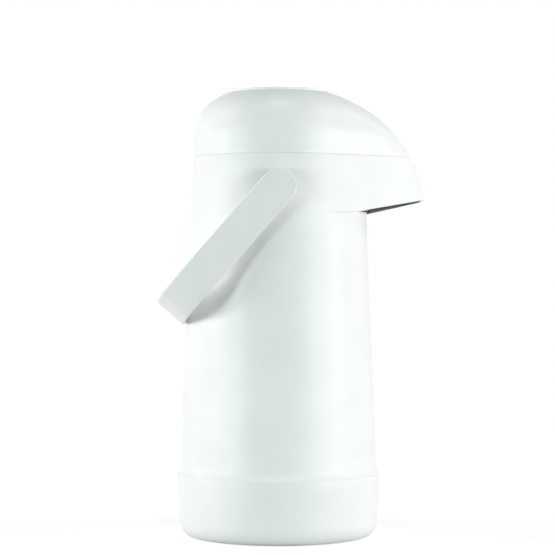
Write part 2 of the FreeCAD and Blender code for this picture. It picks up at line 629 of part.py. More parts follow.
def strap_outline(side_y, reach, corner, bow):
    """Solid seen from above: arms along X, round corners and a bowed grip, all tangent."""
    half = BAIL_WIDTH / 2
    start = -half - OVERCUT
    bow_x = reach - bow
    corner_y = side_y - corner
    corner_x = bow_x + math.sqrt((bow - corner) ** 2 - corner_y ** 2)
    turn = math.atan2(corner_y, corner_x - bow_x)
    knee = (math.pi / 2 + turn) / 2

    def point(x, y):
        return Vector(x, y, -half)

    def on_corner(angle, side):
        return point(corner_x + corner * math.cos(angle), side * (corner_y + corner * math.sin(angle)))

    edges = [
        Part.makeLine(point(start, -side_y), point(corner_x, -side_y)),
        Part.Arc(point(corner_x, -side_y), on_corner(knee, -1), on_corner(turn, -1)).toShape(),
        Part.Arc(on_corner(turn, -1), point(reach, 0), on_corner(turn, 1)).toShape(),
        Part.Arc(on_corner(turn, 1), on_corner(knee, 1), point(corner_x, side_y)).toShape(),
        Part.makeLine(point(corner_x, side_y), point(start, side_y)),
        Part.makeLine(point(start, side_y), point(start, -side_y)),
    ]
    return Part.Face(Part.Wire(edges)).extrude(Vector(0, 0, BAIL_WIDTH))


def strap_side_view():
    """The strap's side outline: straight edges and a round end about the pivot."""
    half, far, wide = BAIL_WIDTH / 2, BAIL_REACH + OVERCUT, ARM_OUTER + OVERCUT

    def point(x, z):
        return Vector(x, -wide, z)

    edges = [
        Part.makeLine(point(0, -half), point(far, -half)),
        Part.makeLine(point(far, -half), point(far, half)),
        Part.makeLine(point(far, half), point(0, half)),
        Part.Arc(point(0, half), point(-half, 0), point(0, -half)).toShape(),
    ]
    return Part.Face(Part.Wire(edges)).extrude(Vector(0, 2 * wide, 0))


def bail_handle():
    """Made flat, pivot at the origin and grip along +X, then turned down to its rest."""
    half = BAIL_WIDTH / 2
    inner_corner = BAIL_CORNER - (ARM_OUTER - ARM_INNER)
    strap = strap_outline(ARM_OUTER, BAIL_REACH, BAIL_CORNER, BAIL_BOW).cut(
        strap_outline(ARM_INNER, BAIL_REACH - GRIP_THICK, inner_corner, BAIL_BOW - GRIP_THICK))
    strap = strap.common(strap_side_view())

    def on_rim(edge):
        middle = edge.valueAt((edge.FirstParameter + edge.LastParameter) / 2)
        straight = abs(abs(middle.z) - half) < RUNNING
        end = middle.x < 0 and abs(math.hypot(middle.x, middle.z) - half) < RUNNING
        return edge.Length > 2 * GRIP_THICK and (straight or end)

    strap = strap.makeFillet(BAIL_ROUND, [edge for edge in strap.Edges if on_rim(edge)])
    for side in (-1, 1):
        ends = sorted((side * TRUNNION_END, side * (ARM_INNER + OVERCUT)))
        strap = strap.fuse(rod_y(TRUNNION_RADIUS, ends[0], ends[1], 0, 0))
    strap.rotate(Vector(0, 0, 0), Vector(0, 1, 0), 180 - math.degrees(BAIL_REST))
    strap.translate(Vector(0, 0, PIVOT_Z))
    return strap


def pivot_clips():
    clips = []
    for side in (-1, 1):
        low, high = sorted((side * (TRUNNION_END + SLIP), side * (BOSS_END - SLIP)))
        clip = rod_y(TRUNNION_RADIUS + CLIP_WALL, low, high, 0, PIVOT_Z)
        clips.append(clip.cut(rod_y(TRUNNION_RADIUS, low - OVERCUT, high + OVERCUT, 0, PIVOT_Z)))
    return Part.makeCompound(clips)


NODES = [
    body_casing, base_cup, refill_cushion, refill_outer_glass, refill_inner_glass, refill_spacers,
    neck_gasket, top_deck, deck_screws, pipe_elbow, dip_tube, dip_tube_foot, spout_pipe, spout_nozzle,
    spout_plate, hinge_pin, lid_shell, pump_base, pump_screws, mouth_seal, air_valve_flap, bellows,
    bellows_clamp_ring, return_spring, push_button, bellows_head, bail_handle, pivot_clips,
]

os.makedirs("parts", exist_ok=True)
for make in NODES:
    shape = make()
    box_of = shape.BoundBox
    low = [round(v, 1) for v in (box_of.XMin, box_of.YMin, box_of.ZMin)]
    high = [round(v, 1) for v in (box_of.XMax, box_of.YMax, box_of.ZMax)]
    print(make.__name__, "solids", len(shape.Solids), "valid", shape.isValid(), "volume", round(shape.Volume),
          "from", low, "to", high)
    shape.exportStep("parts/" + make.__name__ + ".step")
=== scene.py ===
import math

import bpy
from mathutils import Matrix, Vector


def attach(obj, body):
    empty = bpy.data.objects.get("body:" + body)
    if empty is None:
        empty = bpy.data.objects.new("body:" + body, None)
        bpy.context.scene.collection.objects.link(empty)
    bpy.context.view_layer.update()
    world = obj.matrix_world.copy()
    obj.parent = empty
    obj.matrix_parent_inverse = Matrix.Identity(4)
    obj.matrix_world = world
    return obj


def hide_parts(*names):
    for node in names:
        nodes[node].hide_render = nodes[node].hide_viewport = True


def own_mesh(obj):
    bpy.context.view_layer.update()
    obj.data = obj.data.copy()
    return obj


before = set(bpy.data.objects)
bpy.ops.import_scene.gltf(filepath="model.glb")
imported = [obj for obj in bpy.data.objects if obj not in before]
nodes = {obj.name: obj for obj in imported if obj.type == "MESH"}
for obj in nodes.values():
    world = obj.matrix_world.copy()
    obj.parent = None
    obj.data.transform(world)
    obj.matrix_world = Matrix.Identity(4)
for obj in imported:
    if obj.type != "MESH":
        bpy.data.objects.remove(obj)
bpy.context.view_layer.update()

# Sizes in metres. The pot stands on z = 0 with its beak along +X, and the camera looks along +Y.
MM = 0.001
EDGE = 0.45 * MM                 # small moulded edge
WALL = 2.5 * MM
SLIP = 0.3 * MM                  # room round a piece that moves in another
OVERCUT = 1.0 * MM               # a cutting shape runs this far past the face that it opens
WELD = 0.002 * MM
SHADE_ANGLE = math.radians(35.0)     # a sharper edge than this stays crisp

# Mesh density: steps round a turned piece, then rows along an outline and points on a rounded edge
TURN_STEPS = 180
SMALL_STEPS = 48
ROD_SIDES = 64
WIRE_SIDES = 14
BODY_ROWS = 40
BEAK_ROWS = 24
LID_ROWS = 8
LID_INNER_ROWS = 6
DOME_ROWS = 30
BUTTON_ROWS = 24
BASE_ROWS = 5
FOLD_ROWS = 16                   # to one fold of the bellows
STRAP_ROWS, STRAP_COLUMNS = 220, 14
SLAB_ROWS, SLAB_COLUMNS = 60, 8
BASE_CORNER_POINTS = 16
HOLLOW_POINTS = 14
COVE_POINTS = 8
EDGE_POINTS = 7
HEAD_POINTS = 6
ROUND_POINTS = 5
SEAM_POINTS = 4
ROUND_LIMIT = 0.45               # the share of a side that one rounded corner may take
SLOPE_ROUNDS = 6                 # repeats that settle a point on the beak's sloping edge
SLOPE_SEARCH = 200               # places tried along the beak's edge

# Casing and lid outline
SEAM_Z = 277.6 * MM
SEAM_RADIUS = 63.5 * MM
SEAM_LINE = 0.06 * MM            # the fine gap that shows at a seam
SEAM_EDGE = 0.15 * MM
SEAM_EDGE_START = 20             # degrees; the rounded rim starts with a small corner
TAPER = 0.0376
DOME_START_Z = 292.6 * MM
DOME_ARC = 35.2 * MM
RIM_Z = 324.2 * MM
ROOF_DROP = 1.2 * MM
FLARE_Z = 52.6 * MM
FLARE_RADIUS = 73.9 * MM
COVE_SHARE = 0.97                # the part of the flare's hollow that is drawn, above its thin foot
LEDGE_RADIUS = 56.0 * MM
LEDGE_THICK = 3.0 * MM

# Beak
RIDGE_CENTRE_X = 11.3 * MM
RIDGE_CENTRE_Z = 232.6 * MM
RIDGE_ARC = 97.4 * MM
FLANK_ANGLE = math.radians(58.0)
FLANK_END = 1.0001               # a point past this share of the flank lies on the round
BEAK_ROOT_Z = 235.9 * MM
BEAK_SLOPE = math.tan(math.radians(10.6))
BEAK_SLOPE_X = 52.0 * MM
BEAK_FLOOR = 2.0 * MM
BEAK_FLOOR_RECESS = 0.15 * MM
COVER_BACK_X = 66.0 * MM         # the dark cover under the beak starts here, just clear of the casing; its dark colour is painted shade
COVER_INSET = 3.0 * MM
COVER_ROOT_DEEP = 1.7 * MM
COVER_TIP_DEEP = 0.7 * MM
SLAB_BEVEL_ANGLE = math.radians(50)

# Base cup
BASE_TOP_Z = 46.2 * MM
BASE_TOP_RADIUS = 74.3 * MM
BASE_LOW_RADIUS = 72.85 * MM
BASE_CORNER = 8.2 * MM
BASE_CORNER_RISE = 11.5 * MM
BASE_EDGE = 0.6 * MM
BASE_FLOOR = 4.0 * MM
SPIGOT_RADIUS = 69.0 * MM
SPIGOT_TOP_Z = 58.0 * MM
FOOT_GROOVE = 1.2 * MM
FOOT_GROOVE_WIDTH = 4.0 * MM
FOOT_RIM = 5.0 * MM
FOOT_EDGE = 0.03 * MM
FOOT_GAP = 0.01 * MM             # between the casing's foot and the base cup
FOOT_Z = BASE_TOP_Z + FOOT_GAP

# Lid hinge
HINGE_X = -58.5 * MM
HINGE_Z = 283.6 * MM
HINGE_HALF = 18.0 * MM
HINGE_BARREL = 7.0 * MM
HINGE_ROOM = 0.03 * MM
HINGE_WEB = 10.0 * MM
HINGE_WEB_PAST = 2.0 * MM        # the web reaches this far inwards of the hinge's axis
RELIEF_HALF = 26.0 * MM
RELIEF_RADIUS = 6.4 * MM
LUG_Y = 10.0 * MM
LUG_HALF = 3.5 * MM
LUG_RADIUS = 5.0 * MM
LUG_RISE = 11.0 * MM
LUG_ROOM = 0.06 * MM
RIM_NOTCH = 1.5 * MM             # height of the lid's rim that is cut away behind the barrel
KNUCKLE = RELIEF_RADIUS - HINGE_ROOM

# Button
BUTTON_RADIUS = 41.8 * MM
BUTTON_TOP_Z = 330.0 * MM
BUTTON_EDGE_Z = 326.4 * MM
BUTTON_EDGE = 0.8 * MM
BUTTON_EDGE_START = 80           # degrees; the crown meets the rounded edge here
BUTTON_GAP = 0.15 * MM
BUTTON_CROWN = 3.4 * MM
SKIRT_LOW_Z = 306.0 * MM
SKIRT_WALL = 2.0 * MM
SKIRT_LIP = 1.8 * MM
SKIRT_LIP_HIGH = 2.0 * MM
SLEEVE_RADIUS = BUTTON_RADIUS + BUTTON_GAP
SLEEVE_WALL = 2.0 * MM
SLEEVE_LOW_Z = 308.6 * MM

# Bail, whose middle line has two straight arms, two round corners and a bowed grip
PIVOT_Z = 253.6 * MM
BAIL_REST = math.radians(48.8)
BAIL_WIDTH = 25.0 * MM
BAIL_ARM_Y = 71.2 * MM           # middle of an arm's thickness
BAIL_ARM_THICK = 5.0 * MM
BAIL_GRIP_THICK = 3.8 * MM
BAIL_REACH = 118.9 * MM          # pivot to the middle of the grip's thickness
BAIL_CORNER = 29.5 * MM
BAIL_BOW = 188.1 * MM
BAIL_ROUND = 1.2 * MM
BAIL_ROUND_SHAPE = 0.32          # a little flatter than a round
BAIL_ROUND_STEPS = 4
BAIL_BEVEL_ANGLE = math.radians(60)
BAIL_TAPER_START = 40.0 * MM     # an arm thins from here, measured from the pivot
BAIL_TAPER = 30.0 * MM
TRUNNION_RADIUS = 5.0 * MM
TRUNNION_END = 56.0 * MM
BOSS_RADIUS = 7.0 * MM
BOSS_END = 58.0 * MM
CORNER_Y = BAIL_ARM_Y - BAIL_CORNER
BOW_X = BAIL_REACH - BAIL_BOW
CORNER_X = BOW_X + math.sqrt((BAIL_BOW - BAIL_CORNER) ** 2 - CORNER_Y ** 2)
BOW_TURN = math.atan2(CORNER_Y, CORNER_X - BOW_X)
CORNER_LENGTH = BAIL_CORNER * (math.pi / 2 - BOW_TURN)
BAIL_HALF = CORNER_X + CORNER_LENGTH + BAIL_BOW * BOW_TURN

# Deck round the mouth
NECK_RADIUS = 25.5 * MM
LIP_Z = 258.0 * MM
GASKET_RADIUS = 33.0 * MM
DECK_LOW_Z = 261.0 * MM
DECK_TOP_Z = 265.0 * MM
DECK_RADIUS = 60.3 * MM
COLLAR_OUTER = 31.0 * MM
COLLAR_INNER = 27.0 * MM
COLLAR_TOP_Z = 275.0 * MM
TUBE_X = 18.0 * MM
TUBE_RADIUS = 3.5 * MM
SOCKET_RADIUS = 4.6 * MM
PIPE_Z = 270.0 * MM
SPOUT_X = 86.0 * MM

# Screws: the shares are of the head's radius, the head's thickness or the shank's radius
SCREW_RADIUS = 1.4 * MM
SCREW_TIP = 0.6
SCREW_POINT = 0.25
RECESS_DEEP, RECESS_HALF, RECESS_REACH = 0.6, 0.14, 0.62
CROWN_REACH, CROWN_HIGH = 0.55, 0.94
HEAD_ROUND, HEAD_ROUND_Z = 0.5, 0.38
HEAD_ROUND_START = 65
DECK_SCREW_CIRCLE = 57.8 * MM
DECK_SCREW_ANGLES = (60, 180, 300)
DECK_SCREW_HEAD = 2.4 * MM
DECK_SCREW_HEAD_THICK = 1.8 * MM
DECK_SCREW_LENGTH = 6.5 * MM
DECK_SCREW_TURN = 0.4            # radians from one screw's recess to the next
PUMP_SCREW_CIRCLE = 48.5 * MM
PUMP_SCREW_ANGLES = (45, 135, 225, 315)
PUMP_SCREW_HEAD = 3.0 * MM
PUMP_SCREW_HEAD_THICK = 1.6 * MM
PUMP_SCREW_LENGTH = 11.0 * MM
PUMP_SCREW_TURN = 0.7
PUMP_POST_RADIUS = 3.5 * MM
PUMP_POST_TOP_Z = 316.5 * MM

# Pump
PUMP_BASE_LOW_Z = 280.0 * MM
PUMP_BASE_TOP_Z = 283.0 * MM
PUMP_BASE_RADIUS = 53.0 * MM
PUMP_BASE_CLEAR = 1.6 * MM       # between the plate's flat and the hinge's barrel
PUMP_BASE_FLAT_X = HINGE_X + HINGE_BARREL + PUMP_BASE_CLEAR
AIR_HOLE_RADIUS = 1.6 * MM
AIR_HOLE_CIRCLE = 3.5 * MM
AIR_HOLE_ANGLES = (0, 120, 240)
FLAP_RADIUS = 7.0 * MM
FLAP_THICK = 0.9 * MM
FLAP_EDGE = 0.8 * EDGE
BELLOWS_OUTER = 36.0 * MM
BELLOWS_INNER = 28.0 * MM
BELLOWS_SKIN = 1.2 * MM
BELLOWS_SKIN_LEVEL = 1.6 * BELLOWS_SKIN      # thickness of the slanting skin, measured level
BELLOWS_FOLDS = 5
BELLOWS_FOLD_REACH = 0.9
BELLOWS_TOP_Z = 319.8 * MM
BELLOWS_FLANGE = 1.5 * MM
BELLOWS_NECK = 4.0 * MM
SPRING_RADIUS = 12.0 * MM
SPRING_WIRE = 0.9 * MM
SPRING_TURNS = 6
SPRING_STEPS = 40                # to a turn

# Refill's rubber pieces
OUTER_GLASS_RADIUS = 54.0 * MM
OUTER_CORNER = 27.0 * MM
OUTER_BOTTOM_Z = 36.0 * MM
INNER_GLASS_RADIUS = 48.5 * MM
GLASS = 2.0 * MM
PEDESTAL_TOP_Z = 9.0 * MM
CUSHION_RADIUS = 50.0 * MM
CUSHION_FOOT_RADIUS = 46.0 * MM
CUSHION_WAIST_Z = 16.0 * MM
CUSHION_TOP_Z = 46.0 * MM
CUSHION_HOLE = 6.0 * MM
SPACER_RADIUS = 4.0 * MM
SPACER_Z = 90.0 * MM
SPACER_ANGLES = (30, 150, 270)


def body_radius(z):
    return SEAM_RADIUS + TAPER * (SEAM_Z - z)


def head_radius(z):
    """Radius of the round form: a cone that runs tangent into the dome."""
    rise = max(0.0, z - DOME_START_Z)
    return body_radius(min(z, DOME_START_Z)) - DOME_ARC + math.sqrt(DOME_ARC ** 2 - rise ** 2)


def ridge_reach(z):
    return RIDGE_CENTRE_X + math.sqrt(RIDGE_ARC ** 2 - (z - RIDGE_CENTRE_Z) ** 2)


def on_teardrop(z, share, inset):
    """Point of the level outline at z. Share runs from 0 at the tip to 1 where a flank leaves the round."""
    cos, sin = math.cos(FLANK_ANGLE), math.sin(FLANK_ANGLE)
    back = head_radius(z) - inset
    tip = ridge_reach(z) - inset
    nose = (back - cos * tip) / (1 - cos)
    centre = tip - nose
    bend = nose * FLANK_ANGLE
    along = abs(share) * (bend + centre * sin)
    angle = min(along, bend) / nose
    past = max(0.0, along - bend)
    x = centre + nose * math.cos(angle) - past * sin
    y = nose * math.sin(angle) + past * cos
    return x, math.copysign(y, share)


def beak_lift(x):
    return max(0.0, x - BEAK_SLOPE_X) * BEAK_SLOPE


def beak_edge(share, inset):
    """Point of the beak's lower edge, which rises towards the tip."""
    level = BEAK_ROOT_Z
    for _ in range(SLOPE_ROUNDS):
        x, y = on_teardrop(level, share, inset)
        level = BEAK_ROOT_Z + beak_lift(x)
    return x, y, level


# Modelling helpers

def deselect():
    if bpy.context.object and bpy.context.object.mode != "OBJECT":
        bpy.ops.object.mode_set(mode="OBJECT")
    bpy.ops.object.select_all(action="DESELECT")


def choose(piece):
    deselect()
    piece.select_set(True)
    bpy.context.view_layer.objects.active = piece


def named(name):
    """Names the object that was just added, and its mesh."""
    piece = bpy.context.object
    piece.name = name
    piece.data.name = name
    return piece


def settle(piece):
    """Merges doubles, turns the faces outwards and shades the piece smooth."""
    choose(piece)
    bpy.ops.object.mode_set(mode="EDIT")
    bpy.ops.mesh.select_all(action="SELECT")
    bpy.ops.mesh.remove_doubles(threshold=WELD)
    bpy.ops.mesh.normals_make_consistent(inside=False)
    bpy.ops.object.mode_set(mode="OBJECT")
    bpy.ops.object.shade_smooth_by_angle(angle=SHADE_ANGLE)
    return piece


def apply_place(piece):
    choose(piece)
    bpy.ops.object.transform_apply(location=True, rotation=True, scale=True)
    return piece


def finish_with(piece, kind, **settings):
    """Adds a modifier and applies it."""
    choose(piece)
    modifier = piece.modifiers.new(kind.lower(), kind)
    for name, value in settings.items():
        setattr(modifier, name, value)
    bpy.ops.object.modifier_apply(modifier=modifier.name)
    return piece


def carve(piece, tool, operation="DIFFERENCE"):
    """Cuts, trims or joins a piece with a tool shape, which is used up."""
    finish_with(piece, "BOOLEAN", object=tool, operation=operation, solver="EXACT")
    bpy.data.objects.remove(tool)
    return piece


def join(piece, *others):
    choose(piece)
    for other in others:
        other.select_set(True)
    bpy.ops.object.join()
    return piece


def copies(piece, places):
    """Repeats a piece by matrices, each copy with its own mesh, as one group."""
    group = []
    for place in places:
        choose(piece)
        bpy.ops.object.duplicate()
        copy = bpy.context.object
        copy.matrix_world = place
        group.append(apply_place(copy))
    name = piece.name
    bpy.data.objects.remove(piece)
    group[0].name = name
    return join(*group)


def even(low, high, count):
    return [low + (high - low) * i / (count - 1) for i in range(count)]


def arc(centre_r, centre_z, radius, start, end, count, rise=None):
    """Round stretch of a profile, angles in degrees from outwards to upwards. A rise makes it oval."""
    angles = [math.radians(a) for a in even(start, end, count)]
    return [(centre_r + radius * math.cos(a), centre_z + (rise or radius) * math.sin(a)) for a in angles]


def rounded(outline, radius):
    """Closed profile with its corners rounded, apart from those on the axis."""
    points = []
    for before, corner, after in zip(outline[-1:] + outline[:-1], outline, outline[1:] + outline[:1]):
        corner = Vector(corner)
        into, out = Vector(before) - corner, Vector(after) - corner
        if corner.x < WELD:
            points.append(tuple(corner))
            continue
        reach = min(radius / math.tan(into.angle(out) / 2),
                    ROUND_LIMIT * into.length, ROUND_LIMIT * out.length)
        first, last = corner + into.normalized() * reach, corner + out.normalized() * reach
        for t in even(0, 1, ROUND_POINTS):
            points.append(tuple(first * (1 - t) ** 2 + corner * 2 * t * (1 - t) + last * t ** 2))
    return points


def turned(name, profile, start=0.0, sweep=360.0, full_steps=TURN_STEPS):
    """Draws a closed profile point by point with extrude, then spins it about Z."""
    deselect()
    bpy.ops.mesh.primitive_plane_add(size=MM)
    piece = named(name)
    bpy.ops.object.mode_set(mode="EDIT")
    bpy.ops.mesh.merge(type="CENTER")
    turn = Matrix.Rotation(math.radians(start), 3, "Z")
    places = [turn @ Vector((r, 0, z)) for r, z in profile]
    bpy.ops.transform.translate(value=places[0])
    for here, there in zip(places, places[1:] + places[:1]):
        bpy.ops.mesh.extrude_region_move(TRANSFORM_OT_translate={"value": there - here})
    bpy.ops.mesh.select_all(action="SELECT")
    bpy.ops.mesh.remove_doubles(threshold=WELD)
    if sweep < 360:
        bpy.ops.mesh.edge_face_add()
    bpy.ops.mesh.select_all(action="SELECT")
    steps = round(full_steps * sweep / 360)
    bpy.ops.mesh.spin(steps=steps, angle=math.radians(sweep), center=(0, 0, 0), axis=(0, 0, 1))
    return settle(piece)


def draw_out_beak(piece, slope=False):
    """Moves the front of a round form out to the beak's teardrop outline, wall thickness kept."""
    for vertex in piece.data.vertices:
        x, y, z = vertex.co
        share = math.atan2(y, x) / FLANK_ANGLE
        inset = head_radius(min(z, RIM_Z)) - math.hypot(x, y)
        if abs(share) > FLANK_END or math.hypot(x, y) < SLEEVE_RADIUS + SLEEVE_WALL / 4:
            continue
        share = max(-1.0, min(1.0, share))
        level = z
        for _ in range(SLOPE_ROUNDS if slope else 1):
            reach, side = on_teardrop(min(level, RIM_Z), share, inset)
            if slope:
                level = z + beak_lift(reach) * (SEAM_Z - z) / (SEAM_Z - BEAK_ROOT_Z)
        vertex.co = (reach, side, level)
    return settle(piece)


def rod(name, radius, start, end, vertices=ROD_SIDES):
    """Cylinder between two points."""
    start, end = Vector(start), Vector(end)
    along = end - start
    deselect()
    bpy.ops.mesh.primitive_cylinder_add(
        vertices=vertices, radius=radius, depth=along.length, location=(start + end) / 2,
        rotation=along.to_track_quat("Z", "Y").to_euler())
    return apply_place(named(name))


def rod_y(name, radius, low, high, x, z):
    return rod(name, radius, (x, low, z), (x, high, z))


def block(name, low, high):
    deselect()
    low, high = Vector(low), Vector(high)
    bpy.ops.mesh.primitive_cube_add(size=1, location=(low + high) / 2, scale=high - low)
    return apply_place(named(name))


def around(circle, angles):
    return [(circle * math.cos(math.radians(a)), circle * math.sin(math.radians(a))) for a in angles]


def round_form(low, high, inset=0.0):
    """Solid cone of the pot's round form, a tool shape."""
    side = [(body_radius(z) - inset, z) for z in (low, high)]
    return turned("round_form", [(0, low), *side, (0, high)])


# Outer mouldings

def make_base():
    inner = BASE_LOW_RADIUS - WALL
    spigot_inner = SPIGOT_RADIUS - WALL
    corner_r = BASE_LOW_RADIUS - BASE_CORNER
    edge_r, edge_z = BASE_TOP_RADIUS - BASE_EDGE, BASE_TOP_Z - BASE_EDGE
    groove_out = corner_r - FOOT_RIM
    groove_in = groove_out - FOOT_GROOVE_WIDTH
    profile = [(0, 0), (groove_in, 0), (groove_in, FOOT_GROOVE), (groove_out, FOOT_GROOVE), (groove_out, 0)]
    profile += arc(corner_r, BASE_CORNER_RISE, BASE_CORNER, -90, 0, BASE_CORNER_POINTS, BASE_CORNER_RISE)
    slope_r = even(BASE_LOW_RADIUS, BASE_TOP_RADIUS, BASE_ROWS)
    slope_z = even(BASE_CORNER_RISE, edge_z, BASE_ROWS)
    profile += list(zip(slope_r, slope_z))[1:-1]
    profile += arc(edge_r, edge_z, BASE_EDGE, 0, 90, EDGE_POINTS)
    profile += [(SPIGOT_RADIUS, BASE_TOP_Z), (SPIGOT_RADIUS, SPIGOT_TOP_Z), (spigot_inner, SPIGOT_TOP_Z),
                (spigot_inner, BASE_TOP_Z - BASE_FLOOR), (inner, BASE_TOP_Z - 2 * BASE_FLOOR),
                (inner, BASE_CORNER_RISE + WALL), (corner_r, BASE_FLOOR), (0, BASE_FLOOR)]
    return turned("base", profile)


def seam_rim():
    """Rounded outer edge just below the seam, on the casing and the beak."""
    return arc(SEAM_RADIUS - SEAM_EDGE, SEAM_Z - SEAM_EDGE, SEAM_EDGE, SEAM_EDGE_START, 90, SEAM_POINTS)


def make_casing():
    flare = FLARE_RADIUS - body_radius(FLARE_Z)
    cove = (flare ** 2 + (FLARE_Z - FOOT_Z) ** 2) / (2 * flare)
    cove_turn = math.degrees(math.asin((FLARE_Z - FOOT_Z) / cove))
    cove_start = 180 + cove_turn * COVE_SHARE
    inner_top = SEAM_RADIUS - WALL
    ledge_low = DECK_LOW_Z - LEDGE_THICK
    profile = [(body_radius(FOOT_Z) - WALL, FOOT_Z), (FLARE_RADIUS - FOOT_EDGE, FOOT_Z)]
    profile += arc(body_radius(FLARE_Z) + cove, FLARE_Z, cove, cove_start, 180, COVE_POINTS)
    profile += [(body_radius(z), z) for z in even(FLARE_Z, SEAM_Z - SEAM_EDGE, BODY_ROWS)[1:]]
    profile += seam_rim()
    profile += [(inner_top + EDGE, SEAM_Z), (inner_top, SEAM_Z - EDGE)]
    profile += [(body_radius(DECK_LOW_Z) - WALL, DECK_LOW_Z), (LEDGE_RADIUS, DECK_LOW_Z),
                (LEDGE_RADIUS, ledge_low), (body_radius(ledge_low) - WALL, ledge_low)]
    return turned("casing", profile)


def make_beak():
    """Lower half of the beak, moulded on to the casing's front."""
    profile = arc(body_radius(BEAK_ROOT_Z) - EDGE, BEAK_ROOT_Z + EDGE, EDGE, -90, 0, ROUND_POINTS)
    profile += [(body_radius(z), z) for z in even(BEAK_ROOT_Z + 2 * EDGE, SEAM_Z - SEAM_EDGE, BEAK_ROWS)]
    profile += seam_rim()
    profile += [(body_radius(z) - WALL, z) for z in even(SEAM_Z - EDGE, BEAK_ROOT_Z + EDGE / 2, BEAK_ROWS)]
    profile += [(body_radius(BEAK_ROOT_Z) - WALL + EDGE / 2, BEAK_ROOT_Z)]
    sweep = 2 * math.degrees(FLANK_ANGLE)
    return draw_out_beak(turned("beak", profile, sweep / 2, sweep), slope=True)


def under_beak(name, inset, back, top, deep_root, deep_tip):
    """Slab on the beak's underside, from a back edge to the tip, with a hole for the spout."""
    start = next(s for s in even(1, 0, SLOPE_SEARCH) if beak_edge(s, inset)[0] >= back)
    deselect()
    bpy.ops.mesh.primitive_grid_add(x_subdivisions=SLAB_ROWS, y_subdivisions=SLAB_COLUMNS, size=2)
    slab = named(name)
    finish_with(slab, "SOLIDIFY", thickness=MM, offset=0)
    for vertex in slab.data.vertices:
        along, across, layer = vertex.co
        on_way = (1 + along) / 2
        x, y, level = beak_edge(start * (1 - on_way), inset)
        deep = deep_root + (deep_tip - deep_root) * on_way
        vertex.co = (x, across * y, level + (top if layer > 0 else -deep))
    finish_with(settle(slab), "BEVEL", width=EDGE / 2, segments=2, limit_method="ANGLE",
                angle_limit=SLAB_BEVEL_ANGLE)
    hole_low, hole_high = BEAK_ROOT_Z - BEAK_FLOOR, SEAM_Z
    carve(slab, rod("hole", SOCKET_RADIUS + SLIP, (SPOUT_X, 0, hole_low), (SPOUT_X, 0, hole_high)))
    return slab


def make_beak_floor():
    floor = under_beak("beak_floor", WALL / 2, 0.0, BEAK_FLOOR, -BEAK_FLOOR_RECESS, -BEAK_FLOOR_RECESS)
    return settle(carve(floor, round_form(BEAK_ROOT_Z - BEAK_FLOOR, SEAM_Z, WALL / 2)))


def make_spout_cover():
    cover = under_beak("spout_cover", COVER_INSET, COVER_BACK_X, EDGE, COVER_ROOT_DEEP, COVER_TIP_DEEP)
    return settle(cover)


def make_lid():
    low = SEAM_Z + SEAM_LINE
    dome_turn = math.asin((RIM_Z - DOME_START_Z) / DOME_ARC)
    dome = [DOME_START_Z + DOME_ARC * math.sin(t) for t in even(0, dome_turn, DOME_ROWS)]
    profile = arc(body_radius(low) - SEAM_EDGE, low + SEAM_EDGE, SEAM_EDGE, -90, 0, ROUND_POINTS)
    profile += [(head_radius(z), z) for z in even(low + SEAM_EDGE, DOME_START_Z, LID_ROWS)[1:]]
    profile += [(head_radius(z), z) for z in dome[1:]]
    profile += [(SLEEVE_RADIUS + SEAM_EDGE, RIM_Z), (SLEEVE_RADIUS, RIM_Z - SEAM_EDGE)]
    profile += [(SLEEVE_RADIUS, SLEEVE_LOW_Z), (SLEEVE_RADIUS + SLEEVE_WALL, SLEEVE_LOW_Z)]
    roof = [z for z in reversed(dome) if head_radius(z) - WALL > SLEEVE_RADIUS + SLEEVE_WALL + WALL / 2]
    profile += [(SLEEVE_RADIUS + SLEEVE_WALL, roof[0] - ROOF_DROP)]
    profile += [(head_radius(z) - WALL, z - ROOF_DROP) for z in roof]
    inner = even(DOME_START_Z - 2 * ROOF_DROP, low + EDGE, LID_INNER_ROWS)
    profile += [(body_radius(z) - WALL, z) for z in inner]
    profile += [(body_radius(low) - WALL + EDGE, low)]
    return draw_out_beak(turned("lid", profile))


def make_posts():
    """Posts under the dome that take the pump's screws."""
    low, high = PUMP_BASE_TOP_Z, PUMP_POST_TOP_Z
    posts = [rod("lid_posts", PUMP_POST_RADIUS, (x, y, low), (x, y, high), SMALL_STEPS)
             for x, y in around(PUMP_SCREW_CIRCLE, PUMP_SCREW_ANGLES)]
    return settle(join(*posts))


def make_button():
    rise = BUTTON_TOP_Z - BUTTON_EDGE_Z
    edge_r = BUTTON_RADIUS - BUTTON_EDGE
    crown = (edge_r ** 2 + rise ** 2) / (2 * rise)
    inner, under = BUTTON_RADIUS - SKIRT_WALL, BUTTON_EDGE_Z - BUTTON_CROWN
    lip, lip_top = BUTTON_RADIUS + SKIRT_LIP, SKIRT_LOW_Z + SKIRT_LIP_HIGH
    centre_z = BUTTON_TOP_Z - crown
    profile = [(r, centre_z + math.sqrt(crown ** 2 - r ** 2)) for r in even(0, edge_r, BUTTON_ROWS)[:-1]]
    profile += arc(edge_r, BUTTON_EDGE_Z - BUTTON_EDGE, BUTTON_EDGE, BUTTON_EDGE_START, 0, EDGE_POINTS)
    profile += [(BUTTON_RADIUS, lip_top), (lip, lip_top), (lip, SKIRT_LOW_Z), (inner, SKIRT_LOW_Z),
                (inner, under), (0, under)]
    return turned("button", profile)


